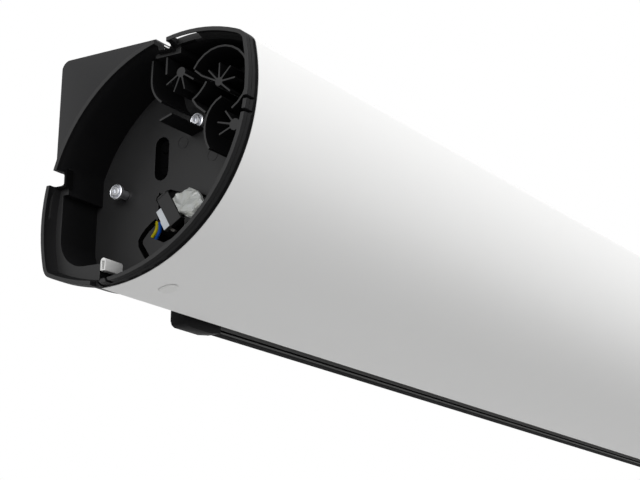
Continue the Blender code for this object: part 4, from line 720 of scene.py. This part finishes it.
black_steel = skin_material("black_steel_paint", (0.010, 0.010, 0.011), (0.013, 0.013, 0.014),
                            rough=(0.40, 0.48), grain=2500, bump=0.3, specular=0.36)
zinc = skin_material("zinc_plate", (0.66, 0.67, 0.70), (0.56, 0.57, 0.61),
                     rough=(0.20, 0.32), grain=1800, bump=0.1, metallic=1.0)
for end in ENDS:
    bracket = detailed_copy("bracket_" + end, "folded_bracket_" + end)
    soften(bracket, BRACKET_SOFTNESS, shortest=BRACKET_SHORTEST_EDGE)
    bpy.ops.object.shade_smooth_by_angle(angle=radians(30))
    bracket.data.materials.append(black_steel)
    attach(bracket, "bracket_on_" + end)
    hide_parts("bracket_" + end)
keep_nodes(["clamp_screw_left", "clamp_screw_right", "clamp_nut_left", "clamp_nut_right"], zinc)


# Drive plates and their screws: a steel plate behind each floor, near black and without gloss as painted
# shade, held by two zinc plated flanged screws with a round drive head. At the motor end one screw is seated
# and the other stands proud.
# A screw's place is (y, z, depth of its head), and its profile is (depth behind the head's front, radius).

BOLT_PLACES = {"motor_bolt_front": (-0.0841, -0.0444, 0.0343), "motor_bolt_back": (-0.0329, -0.0806, 0.0277)}
BOLT_END = 0.0513
SHANK_RADIUS = 0.0027
SPIN_WELD_DISTANCE = 0.000005
BOLT_PROFILE = ((0.0012, 0.0), (0.0012, 0.0009), (0.0003, 0.0011), (0.0, 0.0014), (0.0, 0.0026),
                (0.0004, 0.0030), (0.0019, 0.0031), (0.0019, 0.0036), (0.0012, 0.0038), (0.0011, 0.0040),
                (0.0013, 0.0044), (0.0020, 0.0045), (0.0031, 0.0045), (0.0031, SHANK_RADIUS))


def turned_piece(name, profile, centre, steps=48):
    """A round piece: a circle primitive set on the (x, radius) profile and spun about a line along X."""
    places = [(x, centre[0] + radius, centre[1]) for x, radius in profile]
    bpy.ops.object.select_all(action="DESELECT")
    bpy.ops.mesh.primitive_circle_add(vertices=len(places), radius=START_RADIUS)
    piece = bpy.context.object
    piece.name = name
    for vertex, place in zip(piece.data.vertices, places):
        vertex.co = place
    bpy.ops.object.mode_set(mode="EDIT")
    bpy.ops.mesh.select_all(action="SELECT")
    bpy.ops.mesh.spin(steps=steps, angle=2 * pi, center=(0.0, *centre), axis=(1.0, 0.0, 0.0))
    bpy.ops.mesh.select_all(action="SELECT")
    bpy.ops.mesh.remove_doubles(threshold=SPIN_WELD_DISTANCE)
    bpy.ops.mesh.normals_make_consistent(inside=False)
    bpy.ops.object.mode_set(mode="OBJECT")
    bpy.ops.object.shade_smooth_by_angle(angle=radians(35))
    return piece


bright_zinc = skin_material("bright_zinc", (0.86, 0.87, 0.90), (0.74, 0.75, 0.79),
                            rough=(0.34, 0.44), grain=1800, bump=0.1, metallic=1.0)
# The drive plates get a near-black colour without gloss: painted shade, so that what is seen through the
# floor's opening stays dark.
plate_painted_shade = skin_material("black_plate_painted_shade", (0.003, 0.003, 0.003), (0.005, 0.005, 0.005),
                           rough=(0.5, 0.6), grain=1800, bump=0.1, specular=0.05)
for node, (y, z, front) in BOLT_PLACES.items():
    profile = [(station(-1, front + depth), radius) for depth, radius in BOLT_PROFILE]
    profile += [(station(-1, BOLT_END), SHANK_RADIUS), (station(-1, BOLT_END), 0.0)]
    screw = turned_piece("flanged_" + node, profile, (y, z))
    screw.data.materials.append(bright_zinc)
    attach(screw, "case")
    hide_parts(node)
keep_nodes(["idler_bolt_front", "idler_bolt_back"], zinc)
keep_nodes(["motor_plate", "idler_plate"], plate_painted_shade)


# Tubular motor: a black head with two limit buttons in a slot-shaped spigot, a bare tube, an output shaft, a
# drive wheel and a crown ring that turn with the roller.

# The head and its limit buttons are black, darkened further and without gloss as painted shade, so that the
# spigot's slot stays dark.
motor_head_painted_shade = skin_material("motor_head_black_painted_shade", (0.0014, 0.0014, 0.0016), (0.0020, 0.0020, 0.0022),
                            rough=(0.50, 0.60), grain=2500, bump=0.2, specular=0.02)
bare_aluminium = skin_material("bare_aluminium", (0.72, 0.73, 0.74), (0.66, 0.67, 0.68),
                               rough=(0.30, 0.42), grain=1500, bump=0.1, metallic=1.0)
keep_nodes(["motor_head", "limit_button_up", "limit_button_down"], motor_head_painted_shade)
keep_nodes(["motor_tube"], bare_aluminium)
keep_nodes(["motor_output_shaft"], zinc)
keep_nodes(["drive_wheel", "crown_ring"], black_moulding)


# Roller: an extruded aluminium tube on which the cloth is wound. The motor carries it at one end, and a
# moulded plug, a bearing and a spindle in the idler's holder at the other.

keep_nodes(["roller_tube"], bare_aluminium)
keep_nodes(["idler_plug", "idler_holder"], black_moulding)
keep_nodes(["idler_bearing", "idler_spindle"], zinc)


# Screen: matte white projection cloth. Its upper end is wound on the roller, and a short flat stretch hangs
# from the roll to the bar, where a hem sewn round a rod slides into the bar's upper channel.

AXIS = (-0.0585, -0.0625)
HALF_CLOTH = 0.800
CLOTH_PITCH = 0.0005
CLOTH_THICKNESS = 0.00042
ROLL_TURNS = 7
STEPS_PER_TURN = 48
ROLL_RADIUS = 0.0288
CLOTH_Y = -0.02915
DROP_STEPS = 24
HEM_Z = -0.1222
HEM_RADIUS = 0.0024
HEM_SEAM = 0.0030
HEM_STEP = 12
HEM_START = 6


def wound_line():
    """The spiral of the wound cloth, from its outermost point inwards."""
    line = []
    for i in range(ROLL_TURNS * STEPS_PER_TURN + 1):
        turn = i / STEPS_PER_TURN
        radius = ROLL_RADIUS - CLOTH_THICKNESS / 2 - turn * CLOTH_PITCH
        line.append((AXIS[0] + radius * cos(2 * pi * turn), AXIS[1] + radius * sin(2 * pi * turn)))
    return line


def hanging_line():
    """Straight down from the level of the roller's axis to the seam, and once round the hem rod."""
    seam_z = HEM_Z + HEM_SEAM
    line = [(CLOTH_Y, AXIS[1] + (seam_z - AXIS[1]) * i / DROP_STEPS) for i in range(DROP_STEPS + 1)]
    for i in range(360 // HEM_STEP):
        a = radians(HEM_STEP * i + HEM_START)
        line.append((CLOTH_Y - HEM_RADIUS * sin(a), HEM_Z + HEM_RADIUS * cos(a)))
    return line


projection_cloth = skin_material("projection_cloth", (0.84, 0.84, 0.83), (0.80, 0.80, 0.79),
                                 rough=(0.85, 0.95), grain=4000, bump=0.3)
wound_cloth = prism("wound_cloth", ribbon(wound_line(), CLOTH_THICKNESS), -HALF_CLOTH, HALF_CLOTH)
bpy.ops.object.shade_smooth_by_angle(angle=radians(30))
wound_cloth.data.materials.append(projection_cloth)
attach(wound_cloth, "roller")
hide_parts("fabric_roll")

drop_line = hanging_line()
hanging_cloth = prism("hanging_cloth", ribbon(drop_line, CLOTH_THICKNESS), -HALF_CLOTH, HALF_CLOTH)
bpy.ops.object.shade_smooth_by_angle(angle=radians(30))
hanging_cloth.data.materials.append(projection_cloth)
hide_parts("fabric_strip")
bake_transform(hanging_cloth)


# Slat bar: a thin black anodised aluminium channel with a groove along its front and a hem rod in its upper
# channel. Moulded caps, whose keels are deeper than the bar, are pushed on to its ends.

BAR_SOFTNESS = 0.00022
BAR_LONG_EDGE = 0.01
BAR_FACE_DEPTH = 0.0040
CAP_SOFTNESS = 0.00035
CAP_SHORTEST_EDGE = 0.0015

# The bar's front is black anodised, coloured lighter than that as painted light; its groove and underside get
# the painted deep shade.
bar_front_painted_light = skin_material("black_anodised_front_painted_light", (0.070, 0.070, 0.069), (0.080, 0.080, 0.079),
                          rough=(0.40, 0.48), grain=2500, bump=0.1, specular=0.30)
bar = detailed_copy("slat_bar", "slat_channel")
soften(bar, BAR_SOFTNESS, lambda a, b: abs(a.x - b.x) > BAR_LONG_EDGE)
bpy.ops.object.shade_smooth_by_angle(angle=radians(30))
bar.data.materials.append(bar_front_painted_light)
bar.data.materials.append(deep_painted_shade)
# Front faces get the lightened black, all other faces the painted deep shade.
for face in bar.data.polygons:
    on_front = face.normal.y <= -FACING and face.center.y <= CLOTH_Y - BAR_FACE_DEPTH
    face.material_index = 0 if on_front else 1
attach(bar, "screen")
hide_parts("slat_bar")
for end in ENDS:
    cap = detailed_copy("slat_cap_" + end, "bar_cap_" + end)
    soften(cap, CAP_SOFTNESS, shortest=CAP_SHORTEST_EDGE)
    bpy.ops.object.shade_smooth_by_angle(angle=radians(30))
    cap.data.materials.append(dull_black_and_wall_shade)
    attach(cap, "screen")
    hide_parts("slat_cap_" + end)
keep_nodes(["hem_rod"], grey_plastic)


# White connector: a moulded housing on the mains wires, pushed in under the tongue, with a grey latch below
# its end. Its outline is given beside the tongue, and the latch's in (y, z).

WHITE_DEPTHS = (0.0314, 0.0346)
WHITE_OUTLINE = ((-0.0080, 0.0004), (-0.0080, 0.0095), (-0.0022, 0.0095), (-0.0018, 0.0090), (0.0054, 0.0090),
                 (0.0054, 0.0004))
WHITE_SOFTNESS = 0.00030
LATCH = ((-0.0663, -0.1048), (-0.0678, -0.1041), (-0.0733, -0.1077), (-0.0718, -0.1085))
LATCH_DEPTHS = (0.0342, 0.0360)
OUT_OF_END = (0.0, -0.52, -0.85)

blue_white = skin_material("white_connector_moulding", (0.74, 0.78, 0.82), (0.70, 0.74, 0.78),
                           rough=(0.30, 0.38), grain=2500, bump=0.1)
grey_latch_and_end_shade = skin_material("grey_latch_and_end_shade", (0.090, 0.085, 0.078), (0.075, 0.070, 0.065),
                           rough=(0.40, 0.50), grain=2500, bump=0.1)
white_body = end_prism("white_connector", clip_outline(WHITE_OUTLINE), -1, *WHITE_DEPTHS)
soften(white_body, WHITE_SOFTNESS)
join_on(white_body, end_prism("latch", LATCH, -1, *LATCH_DEPTHS))
bpy.ops.object.shade_smooth_by_angle(angle=radians(30))
white_body.data.materials.append(blue_white)
white_body.data.materials.append(grey_latch_and_end_shade)
# The connector's end face, turned down into shade, gets the latch's grey as painted shade; the latch itself
# is grey.
end_place = Vector((0.0, *clip_point(WHITE_OUTLINE[0][0], 0.0)))
for face in white_body.data.polygons:
    if (face.center - end_place).dot(Vector(OUT_OF_END)) > -2 * HAIR:
        face.material_index = 1
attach(white_body, "case")
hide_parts("mains_connector")


# Clear connector: the nylon housing of the motor's lead, which mates with the white one under the tongue. Its
# thick walls are milky and uneven, so its face is broken into small facets.

NYLON_DEPTHS = (0.0312, 0.0352)
NYLON_OUTLINE = ((0.0040, 0.0), (0.0057, -0.0079), (0.0039, -0.0113), (0.0037, -0.0159), (-0.0006, -0.0188),
                 (-0.0040, -0.0199), (-0.0116, -0.0197), (-0.0117, -0.0154), (-0.0127, -0.0132),
                 (-0.0138, -0.0090), (-0.0101, -0.0064), (-0.0057, -0.0047), (-0.0057, 0.0))
NYLON_SOFTNESS = 0.0009
FACET_SIZE = 0.0040
FACET_RELIEF = 0.0034
LEVEL_WITHIN = 0.001
MILKINESS = 0.20
MILK_DEPTH = 0.001

clear_body = end_prism("clear_connector", clip_outline(NYLON_OUTLINE), -1, *NYLON_DEPTHS)
soften(clear_body, NYLON_SOFTNESS, lambda a, b: abs(a.x - b.x) < LEVEL_WITHIN, steps=1)
bpy.ops.object.mode_set(mode="EDIT")
bpy.ops.mesh.select_all(action="SELECT")
bpy.ops.mesh.quads_convert_to_tris(ngon_method="BEAUTY")
bpy.ops.mesh.subdivide(number_cuts=2)
bpy.ops.mesh.quads_convert_to_tris(ngon_method="BEAUTY")
bpy.ops.object.mode_set(mode="OBJECT")
lumps = bpy.data.textures.new("lumps", "VORONOI")
lumps.noise_scale = FACET_SIZE
folds = clear_body.modifiers.new("folds", "DISPLACE")
folds.texture = lumps
folds.texture_coords = "LOCAL"
folds.direction = "X"
folds.strength = FACET_RELIEF
folds.mid_level = 0.5
bpy.ops.object.modifier_apply(modifier="folds")
bpy.ops.object.shade_smooth_by_angle(angle=radians(10))
clear_nylon = skin_material("clear_nylon", (0.70, 0.73, 0.76), (0.42, 0.42, 0.35),
                            rough=(0.20, 0.32), grain=9000, bump=0.2)
nylon_shader = clear_nylon.node_tree.nodes["Principled BSDF"]
nylon_shader.inputs["Subsurface Weight"].default_value = MILKINESS
nylon_shader.inputs["Subsurface Radius"].default_value = (1.0, 1.0, 1.0)
nylon_shader.inputs["Subsurface Scale"].default_value = MILK_DEPTH
clear_body.data.materials.append(clear_nylon)
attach(clear_body, "case")
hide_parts("motor_connector")


# Wires: three copper wires insulated in plastic, for earth, neutral and live. They run from the white
# connector down through the floor's opening to the motor head. A route's points are (depth, y, z).

WIRE_RADIUS = 0.00105
WIRE_ROUNDNESS = 4
WIRES = {
    "wire_earth": ((0.70, 0.60, 0.01),
                   ((0.0338, -0.0606, -0.1012), (0.0358, -0.0590, -0.1040), (0.0375, -0.0560, -0.1068),
                    (0.0400, -0.0516, -0.1080), (0.0440, -0.0500, -0.1030), (0.0466, -0.0540, -0.0871))),
    "wire_blue": ((0.01, 0.10, 0.50),
                  ((0.0338, -0.0626, -0.1020), (0.0358, -0.0612, -0.1050), (0.0376, -0.0584, -0.1080),
                   (0.0410, -0.0532, -0.1098), (0.0450, -0.0516, -0.1040), (0.0466, -0.0562, -0.0871))),
    "wire_brown": ((0.03, 0.012, 0.008),
                   ((0.0342, -0.0612, -0.1010), (0.0376, -0.0598, -0.1036), (0.0394, -0.0566, -0.1060),
                    (0.0424, -0.0530, -0.1060), (0.0450, -0.0530, -0.0990), (0.0466, -0.0585, -0.0871))),
}
SHADE_SHARE = 0.8


def wire_piece(name, route):
    """A round wire through (depth, y, z) points: a bezier curve with round section, turned into a mesh."""
    bpy.ops.object.select_all(action="DESELECT")
    bpy.ops.curve.primitive_bezier_curve_add()
    path = bpy.context.object
    path.name = name
    points = path.data.splines[0].bezier_points
    points.add(len(route) - 2)
    for point, (depth, y, z) in zip(points, route):
        point.co = (station(-1, depth), y, z)
        point.handle_left_type = "AUTO"
        point.handle_right_type = "AUTO"
    path.data.bevel_depth = WIRE_RADIUS
    path.data.bevel_resolution = WIRE_ROUNDNESS
    path.data.use_fill_caps = True
    bpy.ops.object.convert(target="MESH")
    return bpy.context.object


for node, (colour, route) in WIRES.items():
    wire = wire_piece("insulated_" + node, route)
    shade = tuple(SHADE_SHARE * part for part in colour)
    insulation = skin_material(node + "_insulation", colour, shade, rough=(0.28, 0.36), grain=2000, bump=0.05)
    wire.data.materials.append(insulation)
    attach(wire, "case")
    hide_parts(node)
